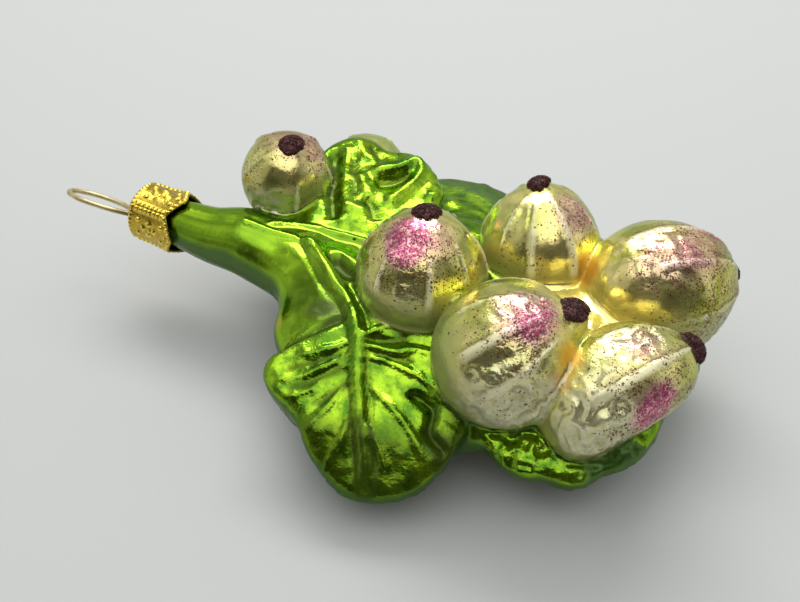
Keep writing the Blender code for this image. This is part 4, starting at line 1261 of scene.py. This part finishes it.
glitter = maroon_glitter()
pad_faces = ring_faces(DAB_ROWS - 1, DAB_COLUMNS) + pole_faces(DAB_ROWS - 1, DAB_COLUMNS)
for number, (berry_name, (dab_direction, _, dab_radius)) in enumerate(CALYXES.items()):
    dab_rng = np.random.default_rng(100 + number)
    pad_points = glue_pad(dab_radius, dab_rng, 60 + number)
    flakes = loose_flakes(dab_radius, dab_rng)
    flake_starts = len(pad_points) + len(FLAKE_CORNERS) * np.arange(FLAKES)
    flake_faces = (flake_starts[:, None, None] + FLAKE_SIDES).reshape(-1, 3).tolist()
    dab_axes = berry_axes(dab_direction)[[1, 2, 0]]
    dab_foot = calyx_ends(berry_name)[1] + dab_axes[2] * (dab_radius - DAB_SINK)
    dab_points = np.vstack([pad_points, flakes]) @ dab_axes + dab_foot
    dab = piece("dab_" + berry_name, dab_points, pad_faces + flake_faces, glitter)
    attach(dab, "root")
    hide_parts("dab_" + berry_name)

# ------------------------------------------------------------------ the table and light
# A plain pale table top under a broad overhead light, with pale walls round it and the
# dark room on the viewer's side that the glass mirrors. Sizes here are in metres.

TABLE_HALF, TABLE_DROP = 2.0, 0.0002
# The viewer's bearing round the ornament, height above the table and distance.
VIEW_AZIMUTH, VIEW_ELEVATION, VIEW_DISTANCE = np.radians(10.0), np.radians(44.0), 0.190
VIEW_CENTER = (BENCH + np.array([0.0, 0.0, 18.0])) * MM
# What the glass mirrors of the room: each pair is the darkest and the brightest patch.
WALLS = ((0.34, 0.35, 0.34, 1), (0.92, 0.93, 0.91, 1))
DARK_ROOM = ((0.04, 0.04, 0.035, 1), (0.12, 0.12, 0.105, 1))
CEILING = ((1.10, 1.11, 1.11, 1), (1.70, 1.72, 1.72, 1))
SKIRTING = (0.50, 0.51, 0.50, 1)

table_data = bpy.data.meshes.new("table")
table_corners = [(TABLE_HALF * x, TABLE_HALF * y, -TABLE_DROP)
                 for x, y in ((-1, -1), (1, -1), (1, 1), (-1, 1))]
table_data.from_pydata(table_corners, [], [(0, 1, 2, 3)])
table = bpy.data.objects.new("table", table_data)
bpy.context.scene.collection.objects.link(table)
table_finish, table_tree, table_shader, _ = new_finish("pale_table")
plug(table_tree, table_shader, {"Base Color": (0.535, 0.542, 0.536, 1), "Roughness": 0.7})
table_data.materials.append(table_finish)

world = bpy.data.worlds.new("studio")
bpy.context.scene.world = world
world.use_nodes = True
sky = world.node_tree
direction = node(sky, "ShaderNodeTexCoord").outputs["Generated"]
toward_viewer = np.array([np.sin(VIEW_AZIMUTH), -np.cos(VIEW_AZIMUTH), 0.0])


def along(axis):
    """How nearly a direction of the sky runs along an axis: their dot product."""
    product = node(sky, "ShaderNodeVectorMath", {0: direction, 1: tuple(axis)}, operation="DOT_PRODUCT")
    return product.outputs["Value"]


def between(value, low, high, ramp="SMOOTHSTEP"):
    """A share that rises from 0 at low to 1 at high."""
    inputs = {"Value": value, 1: low, 2: high}
    return node(sky, "ShaderNodeMapRange", inputs, interpolation_type=ramp).outputs[0]


overhead = between(along(0.139 * toward_viewer + np.array([0.0, 0.0, 0.990])), 0.765, 0.84)
behind_viewer = between(along(toward_viewer), 0.25, 0.60)
clutter = node(sky, "ShaderNodeTexNoise", {"Vector": direction, "Scale": 3.6, "Detail": 2.0}).outputs["Fac"]
clutter = between(clutter, 0.38, 0.62, "LINEAR")
height = node(sky, "ShaderNodeSeparateXYZ", {0: direction}).outputs["Z"]
light = tint(sky, between(height, 0.40, 0.05), tint(sky, clutter, *WALLS), SKIRTING)
light = tint(sky, behind_viewer, light, tint(sky, clutter, *DARK_ROOM))
light = tint(sky, overhead, light, tint(sky, clutter, *CEILING))
plug(sky, sky.nodes["Background"], {"Color": light})

lamp_data = bpy.data.lights.new("softbox", "AREA")
lamp_data.shape = "RECTANGLE"
lamp_data.size, lamp_data.size_y = 0.45, 0.18
lamp_data.energy = 1.5
lamp = bpy.data.objects.new("softbox", lamp_data)
lamp.location = (-0.03, 0.30, 0.45)
lamp.rotation_euler = (np.radians(-34), np.radians(-4), 0)
bpy.context.scene.collection.objects.link(lamp)

camera_data = bpy.data.cameras.new("viewer")
camera_data.lens = 50
camera_data.sensor_width = 36
camera = bpy.data.objects.new("viewer", camera_data)
rising = toward_viewer * np.cos(VIEW_ELEVATION) + np.array([0.0, 0.0, np.sin(VIEW_ELEVATION)])
camera.location = VIEW_CENTER + VIEW_DISTANCE * rising
camera.rotation_euler = (np.pi / 2 - VIEW_ELEVATION, 0, VIEW_AZIMUTH)
bpy.context.scene.collection.objects.link(camera)
bpy.context.scene.camera = camera
bpy.context.scene.view_settings.view_transform = "Standard"
